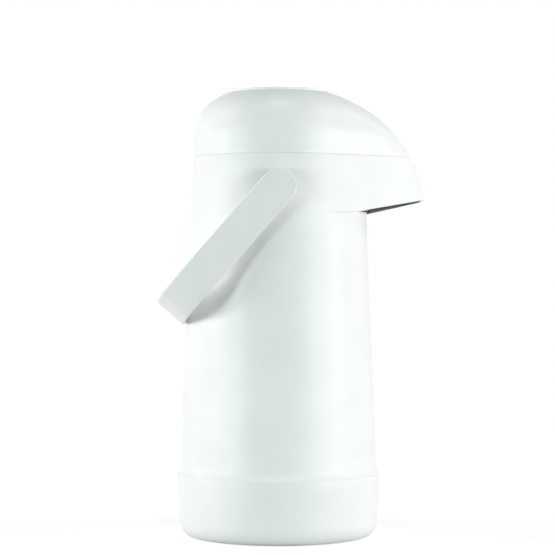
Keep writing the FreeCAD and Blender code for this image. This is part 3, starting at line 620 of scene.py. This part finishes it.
def bail_path(along):
    """Place and outward direction on the bail's middle line, flat, pivot at the origin, grip at +X."""
    side = 1 if along < 0 else -1
    from_pivot = BAIL_HALF - abs(along)
    if from_pivot < CORNER_X:
        return Vector((from_pivot, side * BAIL_ARM_Y, 0)), Vector((0, side, 0))
    on_corner = from_pivot < CORNER_X + CORNER_LENGTH
    centre = Vector((CORNER_X, side * CORNER_Y, 0)) if on_corner else Vector((BOW_X, 0, 0))
    radius = BAIL_CORNER if on_corner else BAIL_BOW
    angle = math.pi / 2 - (from_pivot - CORNER_X) / BAIL_CORNER if on_corner else abs(along) / BAIL_BOW
    out = Vector((math.cos(angle), side * math.sin(angle), 0))
    return centre + out * radius, out


def make_bail():
    """A flat strap with round ends, edges rounded, then bent along the bail's line and turned to rest."""
    radius = BAIL_WIDTH / 2
    end = BAIL_HALF / (BAIL_HALF + radius)
    deselect()
    bpy.ops.mesh.primitive_grid_add(x_subdivisions=STRAP_ROWS, y_subdivisions=STRAP_COLUMNS, size=2)
    strap = named("bail")
    for vertex in strap.data.vertices:  # each square end is mapped on to a half disc
        a, b = vertex.co.x, vertex.co.y
        past = max(0.0, abs(a) - end) / (1 - end)
        flat = min(abs(a), end) / end * BAIL_HALF + radius * past * math.sqrt(1 - b * b / 2)
        vertex.co = (math.copysign(flat, a), radius * b * math.sqrt(1 - past * past / 2), 0)
    finish_with(strap, "SOLIDIFY", thickness=BAIL_ARM_THICK, offset=0)
    finish_with(strap, "BEVEL", width=BAIL_ROUND, segments=BAIL_ROUND_STEPS, profile=BAIL_ROUND_SHAPE,
                limit_method="ANGLE", angle_limit=BAIL_BEVEL_ANGLE)
    place = Matrix.Translation((0, 0, PIVOT_Z)) @ Matrix.Rotation(math.pi - BAIL_REST, 4, "Y")
    for vertex in strap.data.vertices:
        along, across, deep = vertex.co
        middle, out = bail_path(along)
        thinned = max(0.0, min(1.0, (BAIL_HALF - BAIL_TAPER_START - abs(along)) / BAIL_TAPER))
        thick = BAIL_ARM_THICK + (BAIL_GRIP_THICK - BAIL_ARM_THICK) * thinned
        vertex.co = place @ (middle + out * deep * thick / BAIL_ARM_THICK + Vector((0, 0, across)))
    settle(strap)
    for side in (-1, 1):
        low, high = sorted((side * TRUNNION_END, side * BAIL_ARM_Y))
        trunnion = rod_y("trunnion", TRUNNION_RADIUS, low, high, 0, PIVOT_Z)
        join(strap, finish_with(trunnion, "BEVEL", width=EDGE, segments=2))
    return settle(strap)


def open_casing(casing):
    """Bosses and holes for the bail, the pipe's hole, and the groove that lets the lid's rear rim pass."""
    for side in (-1, 1):
        wall = side * (body_radius(PIVOT_Z) - WALL / 2)
        boss_ends, hole_ends = sorted((side * BOSS_END, wall)), sorted((side * TRUNNION_END, 2 * wall))
        carve(casing, rod_y("boss", BOSS_RADIUS, *boss_ends, 0, PIVOT_Z), "UNION")
        carve(casing, rod_y("hole", TRUNNION_RADIUS + SLIP / 2, *hole_ends, 0, PIVOT_Z))
    carve(casing, rod("pipe_hole", TUBE_RADIUS + SLIP, (LEDGE_RADIUS, 0, PIPE_Z), (SPOUT_X, 0, PIPE_Z)))
    carve(casing, rod_y("relief", RELIEF_RADIUS, -RELIEF_HALF, RELIEF_HALF, HINGE_X, HINGE_Z))
    return settle(casing)


def open_lid(lid):
    """Room for the hinge's barrel, a notch in the rim behind it, and two rolled lips beside it.

    The lips close the groove in the casing.
    """
    half = HINGE_HALF + HINGE_ROOM
    low, high = SEAM_Z - RELIEF_RADIUS, HINGE_Z + RELIEF_RADIUS
    for side in (-1, 1):
        lip = rod_y("lip", KNUCKLE, *sorted((side * HINGE_HALF, side * RELIEF_HALF)), HINGE_X, HINGE_Z)
        carve(lip, round_form(low - OVERCUT, high + OVERCUT), "INTERSECT")
        carve(lip, round_form(low - 2 * OVERCUT, high + 2 * OVERCUT, WALL - LUG_ROOM))
        carve(lid, lip, "UNION")
    carve(lid, rod_y("room", HINGE_BARREL + HINGE_ROOM, -half, half, HINGE_X, HINGE_Z))
    across = LUG_Y + LUG_HALF
    notch_low = (-SEAM_RADIUS - OVERCUT, -across, SEAM_Z - OVERCUT)
    return settle(carve(lid, block("notch", notch_low, (HINGE_X, across, SEAM_Z + RIM_NOTCH))))


def make_hinge_block():
    """Barrel flush with the casing's outside, on a web inside its wall, slotted for the lid's lugs."""
    web_low = SEAM_Z - HINGE_WEB
    barrel = rod_y("hinge_block", HINGE_BARREL, -HINGE_HALF, HINGE_HALF, HINGE_X, HINGE_Z)
    carve(barrel, round_form(web_low - OVERCUT, DOME_START_Z), "INTERSECT")
    web_end = HINGE_X + HINGE_WEB_PAST
    web = block("web", (-SEAM_RADIUS, -HINGE_HALF, web_low), (web_end, HINGE_HALF, HINGE_Z))
    carve(web, round_form(web_low - OVERCUT, DOME_START_Z, WALL / 2), "INTERSECT")
    carve(barrel, web, "UNION")
    half, reach = LUG_HALF + LUG_ROOM, 2 * HINGE_BARREL
    floor, top = HINGE_Z - LUG_RADIUS - LUG_ROOM, HINGE_Z + reach
    for y in (-LUG_Y, LUG_Y):
        low, high = y - half, y + half
        carve(barrel, block("slot", (HINGE_X - reach, low, floor), (HINGE_X + reach, high, top)))
        carve(barrel, rod_y("seat", KNUCKLE + LUG_ROOM, low, high, HINGE_X, HINGE_Z))
    return settle(barrel)


def make_lugs():
    lugs = []
    for y in (-LUG_Y, LUG_Y):
        low, high = y - LUG_HALF, y + LUG_HALF
        lug = rod_y("lid_lugs", KNUCKLE, low, high, HINGE_X, HINGE_Z)
        arm_low = (HINGE_X - LUG_RADIUS, low, HINGE_Z)
        arm_high = (HINGE_X + LUG_RADIUS, high, HINGE_Z + LUG_RISE)
        carve(lug, block("arm", arm_low, arm_high), "UNION")
        carve(lug, round_form(SEAM_Z - 2 * LUG_RADIUS, HINGE_Z + 2 * LUG_RISE, LUG_ROOM / 2), "INTERSECT")
        lugs.append(settle(lug))
    return join(*lugs)


# Deck, pump plate and screws

def make_deck():
    profile = [(DECK_RADIUS, DECK_LOW_Z), (DECK_RADIUS, DECK_TOP_Z), (COLLAR_OUTER, DECK_TOP_Z),
               (COLLAR_OUTER, COLLAR_TOP_Z), (COLLAR_INNER, COLLAR_TOP_Z), (COLLAR_INNER, DECK_TOP_Z),
               (NECK_RADIUS + SLIP, DECK_TOP_Z), (NECK_RADIUS + SLIP, DECK_LOW_Z)]
    deck = turned("deck", rounded(profile, 2 * EDGE))
    slot = SOCKET_RADIUS + SLIP
    slot_high = (COLLAR_OUTER + OVERCUT, slot, COLLAR_TOP_Z + OVERCUT)
    return settle(carve(deck, block("slot", (TUBE_X, -slot, DECK_TOP_Z), slot_high)))


def make_pump_plate():
    profile = [(0, PUMP_BASE_LOW_Z), (PUMP_BASE_RADIUS, PUMP_BASE_LOW_Z),
               (PUMP_BASE_RADIUS, PUMP_BASE_TOP_Z), (0, PUMP_BASE_TOP_Z)]
    plate = turned("pump_plate", rounded(profile, 2 * EDGE))
    low, high = PUMP_BASE_LOW_Z - OVERCUT, PUMP_BASE_TOP_Z + OVERCUT
    wide = PUMP_BASE_RADIUS + OVERCUT
    carve(plate, block("flat", (-wide, -wide, low), (PUMP_BASE_FLAT_X, wide, high)))
    for x, y in around(AIR_HOLE_CIRCLE, AIR_HOLE_ANGLES):
        carve(plate, rod("air_hole", AIR_HOLE_RADIUS, (x, y, low), (x, y, high), SMALL_STEPS))
    return settle(plate)


def make_screws(name, head, head_thick, length, places):
    """Pan-head screws with a crossed recess, modelled upright with the head's underside at z = 0."""
    half, reach, floor = RECESS_HALF * head, RECESS_REACH * head, head_thick - RECESS_DEEP * head_thick
    edge, tip = HEAD_ROUND * head_thick, SCREW_TIP * SCREW_RADIUS
    profile = [(0, head_thick), (CROWN_REACH * head, CROWN_HIGH * head_thick)]
    profile += arc(head - edge, HEAD_ROUND_Z * head_thick, edge, HEAD_ROUND_START, 0, HEAD_POINTS)
    profile += [(head, 0), (SCREW_RADIUS, 0), (SCREW_RADIUS, tip - length),
                (SCREW_POINT * SCREW_RADIUS, -length), (0, -length)]
    screw = turned(name, profile, full_steps=SMALL_STEPS)
    for across, along in ((half, reach), (reach, half)):
        carve(screw, block("recess", (-across, -along, floor), (across, along, 2 * head_thick)))
    return copies(settle(screw), places)


def make_deck_screws():
    places = [Matrix.Translation((x, y, DECK_TOP_Z)) @ Matrix.Rotation(DECK_SCREW_TURN * i, 4, "Z")
              for i, (x, y) in enumerate(around(DECK_SCREW_CIRCLE, DECK_SCREW_ANGLES))]
    return make_screws("deck_screw_set", DECK_SCREW_HEAD, DECK_SCREW_HEAD_THICK, DECK_SCREW_LENGTH, places)


def make_pump_screws():
    places = [Matrix.Translation((x, y, PUMP_BASE_LOW_Z)) @ Matrix.Rotation(math.pi, 4, "X")
              @ Matrix.Rotation(PUMP_SCREW_TURN * i, 4, "Z")
              for i, (x, y) in enumerate(around(PUMP_SCREW_CIRCLE, PUMP_SCREW_ANGLES))]
    return make_screws("pump_screw_set", PUMP_SCREW_HEAD, PUMP_SCREW_HEAD_THICK, PUMP_SCREW_LENGTH, places)


# Rubber pieces and the spring

def make_bellows():
    """Skin with soft folds, a foot flange and a closed top."""
    low, crown = PUMP_BASE_TOP_Z + BELLOWS_NECK, BELLOWS_TOP_Z - BELLOWS_SKIN
    middle = (BELLOWS_OUTER + BELLOWS_INNER + BELLOWS_SKIN) / 2
    fold = (BELLOWS_OUTER - BELLOWS_INNER - BELLOWS_SKIN) / 2
    flange = PUMP_BASE_TOP_Z + BELLOWS_FLANGE
    bore = BELLOWS_INNER + BELLOWS_SKIN - BELLOWS_SKIN_LEVEL

    def wave(share):
        """Folds a little sharper than a sine, as a triangle wave's first two terms give."""
        turn = 2 * math.pi * BELLOWS_FOLDS * share
        return middle - fold * BELLOWS_FOLD_REACH * (math.cos(turn) + math.cos(3 * turn) / 9)

    shares = even(0, 1, FOLD_ROWS * BELLOWS_FOLDS + 1)
    outside = [(wave(s), low + (crown - BELLOWS_SKIN - low) * s) for s in shares]
    inside = [(r - BELLOWS_SKIN_LEVEL, z) for r, z in reversed(outside)]
    foot = [(bore, PUMP_BASE_TOP_Z), (BELLOWS_OUTER, PUMP_BASE_TOP_Z), (BELLOWS_OUTER, flange),
            (BELLOWS_INNER + BELLOWS_SKIN, flange)]
    top = [(BELLOWS_INNER, BELLOWS_TOP_Z), (0, BELLOWS_TOP_Z), (0, crown), (bore, crown)]
    return turned("bellows_skin", foot + outside + top + inside)


def make_spring():
    """A ring of wire section, drawn round and up by a screw."""
    low = PUMP_BASE_TOP_Z + SPRING_WIRE + SLIP
    high = BELLOWS_TOP_Z - BELLOWS_SKIN - SPRING_WIRE - SLIP
    deselect()
    bpy.ops.mesh.primitive_circle_add(vertices=WIRE_SIDES, radius=SPRING_WIRE,
                                      location=(SPRING_RADIUS, 0, low), rotation=(math.pi / 2, 0, 0))
    spring = apply_place(named("spring_coil"))
    finish_with(spring, "SCREW", angle=2 * math.pi * SPRING_TURNS, screw_offset=high - low,
                steps=SPRING_TURNS * SPRING_STEPS, render_steps=SPRING_TURNS * SPRING_STEPS)
    bpy.ops.object.mode_set(mode="EDIT")
    bpy.ops.mesh.select_all(action="SELECT")
    bpy.ops.mesh.fill_holes(sides=0)
    return settle(spring)


def make_seal():
    """Mouth seal with a raised bead on its lower face, which presses on the collar."""
    outer, inner = COLLAR_OUTER + SLIP, COLLAR_INNER - SLIP
    low, middle = COLLAR_TOP_Z + SLIP, (outer + inner) / 2
    shoulder = low + 2 * EDGE
    profile = [(outer, PUMP_BASE_LOW_Z), (inner, PUMP_BASE_LOW_Z), (inner, shoulder),
               (middle - 3 * EDGE, shoulder), (middle - EDGE, low), (middle + EDGE, low),
               (middle + 3 * EDGE, shoulder), (outer, shoulder)]
    return turned("seal_ring", rounded(profile, EDGE))


def make_gasket():
    outer, inner = GASKET_RADIUS, NECK_RADIUS + SLIP
    profile = [(outer, LIP_Z), (outer, DECK_LOW_Z), (inner, DECK_LOW_Z), (inner, LIP_Z)]
    return turned("gasket_ring", rounded(profile, 2 * EDGE))


def make_flap():
    low = PUMP_BASE_LOW_Z - FLAP_THICK
    profile = [(0, low), (FLAP_RADIUS, low), (FLAP_RADIUS, PUMP_BASE_LOW_Z), (0, PUMP_BASE_LOW_Z)]
    return turned("valve_flap", rounded(profile, FLAP_EDGE), full_steps=2 * SMALL_STEPS)


def make_cushion():
    """Rubber cup under the flask, hollowed to the flask's round bottom."""
    hollow, corner = OUTER_BOTTOM_Z - SLIP, OUTER_CORNER + SLIP
    centre_r, centre_z = OUTER_GLASS_RADIUS - OUTER_CORNER, hollow + corner
    rim_turn = math.degrees(math.asin((CUSHION_TOP_Z - centre_z) / corner))
    profile = rounded([(CUSHION_HOLE, PEDESTAL_TOP_Z), (CUSHION_FOOT_RADIUS, PEDESTAL_TOP_Z),
                       (CUSHION_RADIUS, CUSHION_WAIST_Z), (CUSHION_RADIUS, CUSHION_TOP_Z)], EDGE)
    profile = [p for p in profile if p[1] <= CUSHION_TOP_Z]
    profile += arc(centre_r, centre_z, corner, rim_turn, -90, HOLLOW_POINTS)
    profile += [(CUSHION_HOLE, hollow)]
    return turned("flask_cushion", profile)


def make_spacers():
    low, high = INNER_GLASS_RADIUS + SLIP, OUTER_GLASS_RADIUS - GLASS - SLIP
    profile = [(0, low), (SPACER_RADIUS, low), (SPACER_RADIUS, high), (0, high)]
    pad = turned("flask_spacers", rounded(profile, EDGE), full_steps=SMALL_STEPS)
    level = Matrix.Translation((0, 0, SPACER_Z))
    lying = Matrix.Rotation(math.pi / 2, 4, "Y")
    return copies(pad, [level @ Matrix.Rotation(math.radians(a), 4, "Z") @ lying for a in SPACER_ANGLES])


# Materials

class Wire:
    """An output of a shader tree. Arithmetic on it adds Math nodes, and node() adds any other node."""

    def __init__(self, tree, socket=None):
        self.tree = tree
        self.socket = socket

    def node(self, kind, settings=None, sockets=None, output=0):
        made = self.tree.nodes.new("ShaderNode" + kind)
        for name, value in (settings or {}).items():
            setattr(made, name, value)
        for name, value in (sockets or {}).items():
            if isinstance(value, Wire):
                self.tree.links.new(value.socket, made.inputs[name])
            else:
                made.inputs[name].default_value = value
        return Wire(self.tree, made.outputs[output] if made.outputs else None)

    def beside(self, output):
        """Another output of the same node."""
        return Wire(self.tree, self.socket.node.outputs[output])

    def maths(self, operation, first, second):
        return self.node("Math", {"operation": operation}, {0: first, 1: second})

    def __add__(self, other):
        return self.maths("ADD", self, other)

    def __mul__(self, other):
        return self.maths("MULTIPLY", self, other)

    def __sub__(self, other):
        return self.maths("SUBTRACT", self, other)

    def __rsub__(self, other):
        return self.maths("SUBTRACT", other, self)

    __radd__ = __add__
    __rmul__ = __mul__


def start_finish(name):
    """An empty material, and a wire with its Object coordinates."""
    material = bpy.data.materials.new(name)
    material.use_nodes = True
    material.node_tree.nodes.clear()
    return material, Wire(material.node_tree).node("TexCoord", output="Object")


def end_finish(material, place, sockets):
    shader = place.node("BsdfPrincipled", sockets=sockets)
    place.node("OutputMaterial", sockets={"Surface": shader})
    return material


def noise(place, size, detail, stretch=None):
    """Cloudy values, with features of about a size, drawn out along axes if a stretch is given."""
    if stretch:
        place = place.node("Mapping", sockets={"Vector": place, "Scale": [1 / s for s in stretch]})
    return place.node("TexNoise", sockets={"Vector": place, "Scale": 1 / size, "Detail": detail})


def ramp(value, low, high):
    """Rises smoothly from 0 at a low value to 1 at a high one."""
    return value.node("MapRange", {"interpolation_type": "SMOOTHSTEP"},
                      {"Value": value, "From Min": low, "From Max": high})


def mix(share, first, second):
    first, second = [c if isinstance(c, Wire) else (*c, 1) for c in (first, second)]
    return share.node("Mix", {"data_type": "RGBA"}, {0: share, 6: first, 7: second}, 2)


def bump(height, depth, strength=0.5):
    return height.node("Bump", sockets={"Height": height, "Distance": depth, "Strength": strength})


def hairlines(place, size):
    """Sparse fine rubs, upright ones and somewhat coarser level ones."""
    upright = ramp(noise(place, size, 1.0, (1, 1, 40)), 0.66, 0.74)
    level = ramp(noise(place, 1.3 * size, 1.0, (30, 30, 1)), 0.68, 0.76)
    return upright.maths("MAXIMUM", upright, level)


def white_moulding(name, colour, rough, coat, coat_rough):
    """Gloss white plastic: faint flow clouds, a fine moulded skin, slow waviness and hairline rubs."""
    material, place = start_finish(name)
    clouds = noise(place, 26 * MM, 3.0)
    skin = noise(place, 0.55 * MM, 2.0)
    waves = noise(place, 17 * MM, 1.0)
    rubs = hairlines(place, 0.5 * MM)
    flecks = ramp(noise(place, 1.1 * MM, 1.0), 0.74, 0.80)
    shade = [c * 0.975 for c in colour]
    fleck_shade = [c * 0.94 for c in colour]
    tone = mix(flecks * 0.35, mix(ramp(clouds, 0.35, 0.65), shade, colour), fleck_shade)
    return end_finish(material, place, {
        "Base Color": tone,
        "Roughness": rough + skin * 0.05 + rubs * 0.10,
        "Coat Weight": coat - rubs * 0.5 * coat,
        "Coat Roughness": coat_rough,
        "Specular IOR Level": 0.35,
        "IOR": 1.49,
        "Normal": bump(skin * 0.06 + waves, 0.05 * MM)})


def shade_dark_moulding():
    """Matt dark plastic with a fine sparked texture, for the cover under the beak; its dark colour is
    painted shade, standing in for the shade in the beak's hollow underside.
    """
    material, place = start_finish("shade_dark_moulding")
    grain = noise(place, 0.35 * MM, 3.0)
    clouds = noise(place, 9 * MM, 2.0)
    return end_finish(material, place, {
        "Base Color": mix(ramp(clouds * 0.6 + grain * 0.4, 0.3, 0.7),
                          (0.022, 0.024, 0.025), (0.042, 0.045, 0.046)),
        "Roughness": 0.5 + grain * 0.18,
        "Specular IOR Level": 0.2,
        "IOR": 1.5,
        "Normal": bump(grain, 0.04 * MM, strength=0.6)})


def milky_plastic():
    """Uncoloured plastic, a little see-through, with flow marks."""
    material, place = start_finish("milky_plastic")
    flow = noise(place, 8 * MM, 3.0, (1, 1, 3))
    skin = noise(place, 0.6 * MM, 2.0)
    return end_finish(material, place, {
        "Base Color": mix(ramp(flow, 0.3, 0.7), (0.70, 0.715, 0.69), (0.79, 0.80, 0.785)),
        "Roughness": 0.36 + skin * 0.12,
        "Subsurface Weight": 0.2,
        "Subsurface Radius": (4 * MM, 4 * MM, 4 * MM),
        "Subsurface Scale": 1.0,
        "IOR": 1.49,
        "Normal": bump(skin * 0.3 + flow, 0.04 * MM)})


def grey_rubber():
    """Moulded grey rubber with a dusty bloom and fine pits."""
    material, place = start_finish("grey_rubber")
    bloom = noise(place, 7 * MM, 4.0)
    pits = noise(place, 0.45 * MM, 2.0)
    return end_finish(material, place, {
        "Base Color": mix(ramp(bloom, 0.35, 0.7), (0.27, 0.28, 0.285), (0.37, 0.38, 0.38)),
        "Roughness": 0.55 + bloom * 0.25,
        "IOR": 1.52,
        "Normal": bump(pits, 0.05 * MM)})


def drawn_steel():
    """Bright steel with lengthwise drawing marks and a mottled polish."""
    material, place = start_finish("drawn_steel")
    marks = noise(place, 0.18 * MM, 2.0, (1, 24, 1))
    mottle = noise(place, 1.6 * MM, 3.0)
    return end_finish(material, place, {
        "Base Color": mix(ramp(mottle, 0.3, 0.7), (0.55, 0.56, 0.575), (0.68, 0.685, 0.69)),
        "Metallic": 1.0,
        "Roughness": 0.2 + marks * 0.16,
        "Normal": bump(marks, 0.01 * MM)})


def silvered_glass():
    """Mirror-backed blown glass: slow waviness, and warmer where the silver lies thin."""
    material, place = start_finish("silvered_glass")
    thin = ramp(noise(place, 24 * MM, 4.0), 0.5, 0.75)
    waves = noise(place, 13 * MM, 1.0)
    return end_finish(material, place, {
        "Base Color": mix(thin, (0.86, 0.87, 0.88), (0.78, 0.75, 0.70)),
        "Metallic": 1.0,
        "Roughness": 0.04 + thin * 0.08,
        "Coat Weight": 1.0,
        "Coat Roughness": 0.02,
        "Normal": bump(waves, 0.2 * MM)})


def clear_glass():
    """Blown glass, faintly green, with slow waviness."""
    material, place = start_finish("clear_glass")
    waves = noise(place, 11 * MM, 1.0)
    return end_finish(material, place, {
        "Base Color": mix(ramp(waves, 0.3, 0.7), (0.93, 0.97, 0.965), (0.96, 0.985, 0.98)),
        "Roughness": 0.01 + waves * 0.02,
        "IOR": 1.5,
        "Transmission Weight": 1.0,
        "Normal": bump(waves, 0.15 * MM)})


# Assembly

base = make_base()
casing = open_casing(make_casing())
beak = make_beak()
beak_floor = make_beak_floor()
spout_cover = make_spout_cover()
hinge_block = make_hinge_block()
lid = open_lid(make_lid())
posts = make_posts()
lugs = make_lugs()
button = make_button()
bail = make_bail()

WHITE = (0.858, 0.868, 0.866)
STRAP_WHITE = (0.852, 0.864, 0.862)
body_white = white_moulding("body_white", WHITE, rough=0.44, coat=0.05, coat_rough=0.2)
lid_white = white_moulding("lid_white", WHITE, rough=0.42, coat=0.15, coat_rough=0.16)
bail_white = white_moulding("bail_white", STRAP_WHITE, rough=0.34, coat=0.3, coat_rough=0.1)
# dark finish of the cover under the beak, whose colour is painted shade
shade_dark = shade_dark_moulding()
milky = milky_plastic()
rubber = grey_rubber()
steel = drawn_steel()
silver = silvered_glass()
glass = clear_glass()

bellows = make_bellows()
spring = make_spring()

for piece, body, node, finish, slot in [
        (base, "pot", "base_cup", body_white, "white_plastic"),
        (casing, "pot", "body_casing", body_white, "white_plastic"),
        (beak, "pot", "body_casing", body_white, "white_plastic"),
        (beak_floor, "pot", "body_casing", body_white, "white_plastic"),
        # the spout cover's dark colour is painted shade under the beak
        (spout_cover, "pot", "spout_plate", shade_dark, "dark_plastic"),
        (hinge_block, "pot", "body_casing", body_white, "white_plastic"),
        (lid, "lid", "lid_shell", lid_white, "white_plastic"),
        (posts, "lid", "lid_shell", lid_white, "white_plastic"),
        (lugs, "lid", "lid_shell", lid_white, "white_plastic"),
        (button, "button", "push_button", lid_white, "white_plastic"),
        (bail, "bail", "bail_handle", bail_white, "white_plastic"),
        (make_deck(), "pot", "top_deck", milky, "natural_plastic"),
        (make_pump_plate(), "lid", "pump_base", milky, "natural_plastic"),
        (make_deck_screws(), "pot", "deck_screws", steel, "steel"),
        (make_pump_screws(), "lid", "pump_screws", steel, "steel"),
        (spring, "lid", "return_spring", steel, "steel"),
        (bellows, "lid", "bellows", rubber, "soft_rubber"),
        (make_seal(), "lid", "mouth_seal", rubber, "soft_rubber"),
        (make_flap(), "lid", "air_valve_flap", rubber, "soft_rubber"),
        (make_gasket(), "pot", "neck_gasket", rubber, "soft_rubber"),
        (make_cushion(), "pot", "refill_cushion", rubber, "soft_rubber"),
        (make_spacers(), "pot", "refill_spacers", rubber, "soft_rubber")]:
    piece.data.materials.append(finish)
    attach(piece, body)
    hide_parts(node)

for piece in (bellows, spring):
    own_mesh(piece)

for finish, kept in [
        (milky, ["pipe_elbow", "dip_tube", "dip_tube_foot", "spout_pipe", "spout_nozzle",
                 "bellows_clamp_ring", "bellows_head", "pivot_clips"]),
        (silver, ["refill_outer_glass"]), (glass, ["refill_inner_glass"]), (steel, ["hinge_pin"])]:
    for node in kept:
        nodes[node].data.materials.clear()
        nodes[node].data.materials.append(finish)


# Stage

CAMERA_DISTANCE = 1.406
CAMERA_HEIGHT = 189.3 * MM
CAMERA_ASIDE = -0.8 * MM
CAMERA_ANGLE = math.radians(16.6)
FLOOR_RADIUS = 1.3
FLOOR_SIDES = 96
FLOOR_SPECK = 3 * MM
FLOOR_DARK = (0.50, 0.50, 0.50)
FLOOR_PALE = (0.54, 0.54, 0.54)
FLOOR_FADE = 0.7                 # the floor fades into the white room from here outwards
FLOOR_LIFT = 0.67                # light added for the camera, so that the open floor reads white
REFLECTED_ROOM = 0.8             # the room as gloss shows it
AMBIENT = 0.02
PLAIN = (1.0, 1.0, 1.0)
COOL = (0.84, 1.0, 0.985)
WARM = (1.0, 0.94, 0.94)
LAMPS = [  # name, azimuth and elevation in degrees, distance, width and height in metres, watts, colour
    ("left_key", -51, 2, 2.0, 0.45, 0.5, 13.5, COOL),
    ("left_side", -77, 3, 2.0, 0.8, 0.6, 16.5, WARM),
    ("left_rear", -105, 6, 2.0, 1.0, 1.2, 5, PLAIN),
    ("left_high", -90, 40, 2.0, 0.9, 0.9, 8.5, PLAIN),
    ("right_key", 45, 2, 2.0, 0.5, 0.5, 12.3, COOL),
    ("right_side", 71, 3, 2.0, 0.8, 0.6, 21.3, WARM),
    ("right_high", 88, 40, 2.0, 0.8, 0.9, 8.3, PLAIN),
    ("top_box", 8, 76, 1.8, 0.45, 0.45, 4.8, COOL),
    ("rear_fill", 180, 14, 2.0, 1.0, 1.0, 13, PLAIN)]


def make_camera():
    deselect()
    bpy.ops.object.camera_add(location=(CAMERA_ASIDE, -CAMERA_DISTANCE, CAMERA_HEIGHT),
                              rotation=(math.pi / 2, 0, 0))
    camera = bpy.context.object
    camera.data.angle = CAMERA_ANGLE
    bpy.context.scene.camera = camera


def make_lamp(name, azimuth, elevation, distance, width, height, power, colour):
    """Soft box aimed at the pot's middle. Azimuth is from the camera's side, to the right."""
    a, e = math.radians(azimuth), math.radians(elevation)
    back = Vector((math.sin(a) * math.cos(e), -math.cos(a) * math.cos(e), math.sin(e)))
    target = Vector((0, 0, RIM_Z / 2))
    deselect()
    bpy.ops.object.light_add(type="AREA", location=target + back * distance)
    light = named(name)
    light.rotation_euler = back.to_track_quat("Z", "Y").to_euler()
    light.data.shape = "RECTANGLE"
    light.data.size, light.data.size_y = width, height
    light.data.energy = power
    light.data.color = colour


def ray_kinds(wire):
    """Whether a ray comes straight from the camera, and whether by way of gloss or glass."""
    path = wire.node("LightPath", output="Is Camera Ray")
    mirrored = path.maths("MAXIMUM", path.beside("Is Glossy Ray"), path.beside("Is Transmission Ray"))
    return path, mirrored


def make_floor():
    deselect()
    bpy.ops.mesh.primitive_circle_add(vertices=FLOOR_SIDES, radius=FLOOR_RADIUS, fill_type="NGON",
                                      location=(0, 0, -WELD))
    floor = apply_place(named("floor"))
    material, place = start_finish("pale_floor")
    camera, mirrored = ray_kinds(place)
    specks = noise(place, FLOOR_SPECK, 2.0)
    matt = place.node("BsdfDiffuse", sockets={"Color": mix(specks, FLOOR_DARK, FLOOR_PALE)})
    lift = place.node("Emission", sockets={"Strength": (camera + mirrored * REFLECTED_ROOM) * FLOOR_LIFT})
    surface = place.node("AddShader", sockets={0: matt, 1: lift})
    out = place.node("VectorMath", {"operation": "LENGTH"}, {0: place}, "Value")
    clear = place.node("BsdfTransparent")
    faded = place.node("MixShader", sockets={0: ramp(out, FLOOR_FADE, FLOOR_RADIUS), 1: surface, 2: clear})
    place.node("OutputMaterial", sockets={"Surface": faded})
    floor.data.materials.append(material)


def make_world():
    world = bpy.data.worlds.new("studio")
    bpy.context.scene.world = world
    world.use_nodes = True
    world.node_tree.nodes.clear()
    wire = Wire(world.node_tree)
    camera, mirrored = ray_kinds(wire)
    unseen = mirrored * REFLECTED_ROOM + (1 - mirrored) * AMBIENT
    strength = camera + (1 - camera) * unseen
    room = wire.node("Background", sockets={"Color": (*PLAIN, 1), "Strength": strength})
    wire.node("OutputWorld", sockets={"Surface": room})


make_camera()
for row in LAMPS:
    make_lamp(*row)
make_floor()
make_world()
bpy.context.scene.view_settings.view_transform = "Standard"
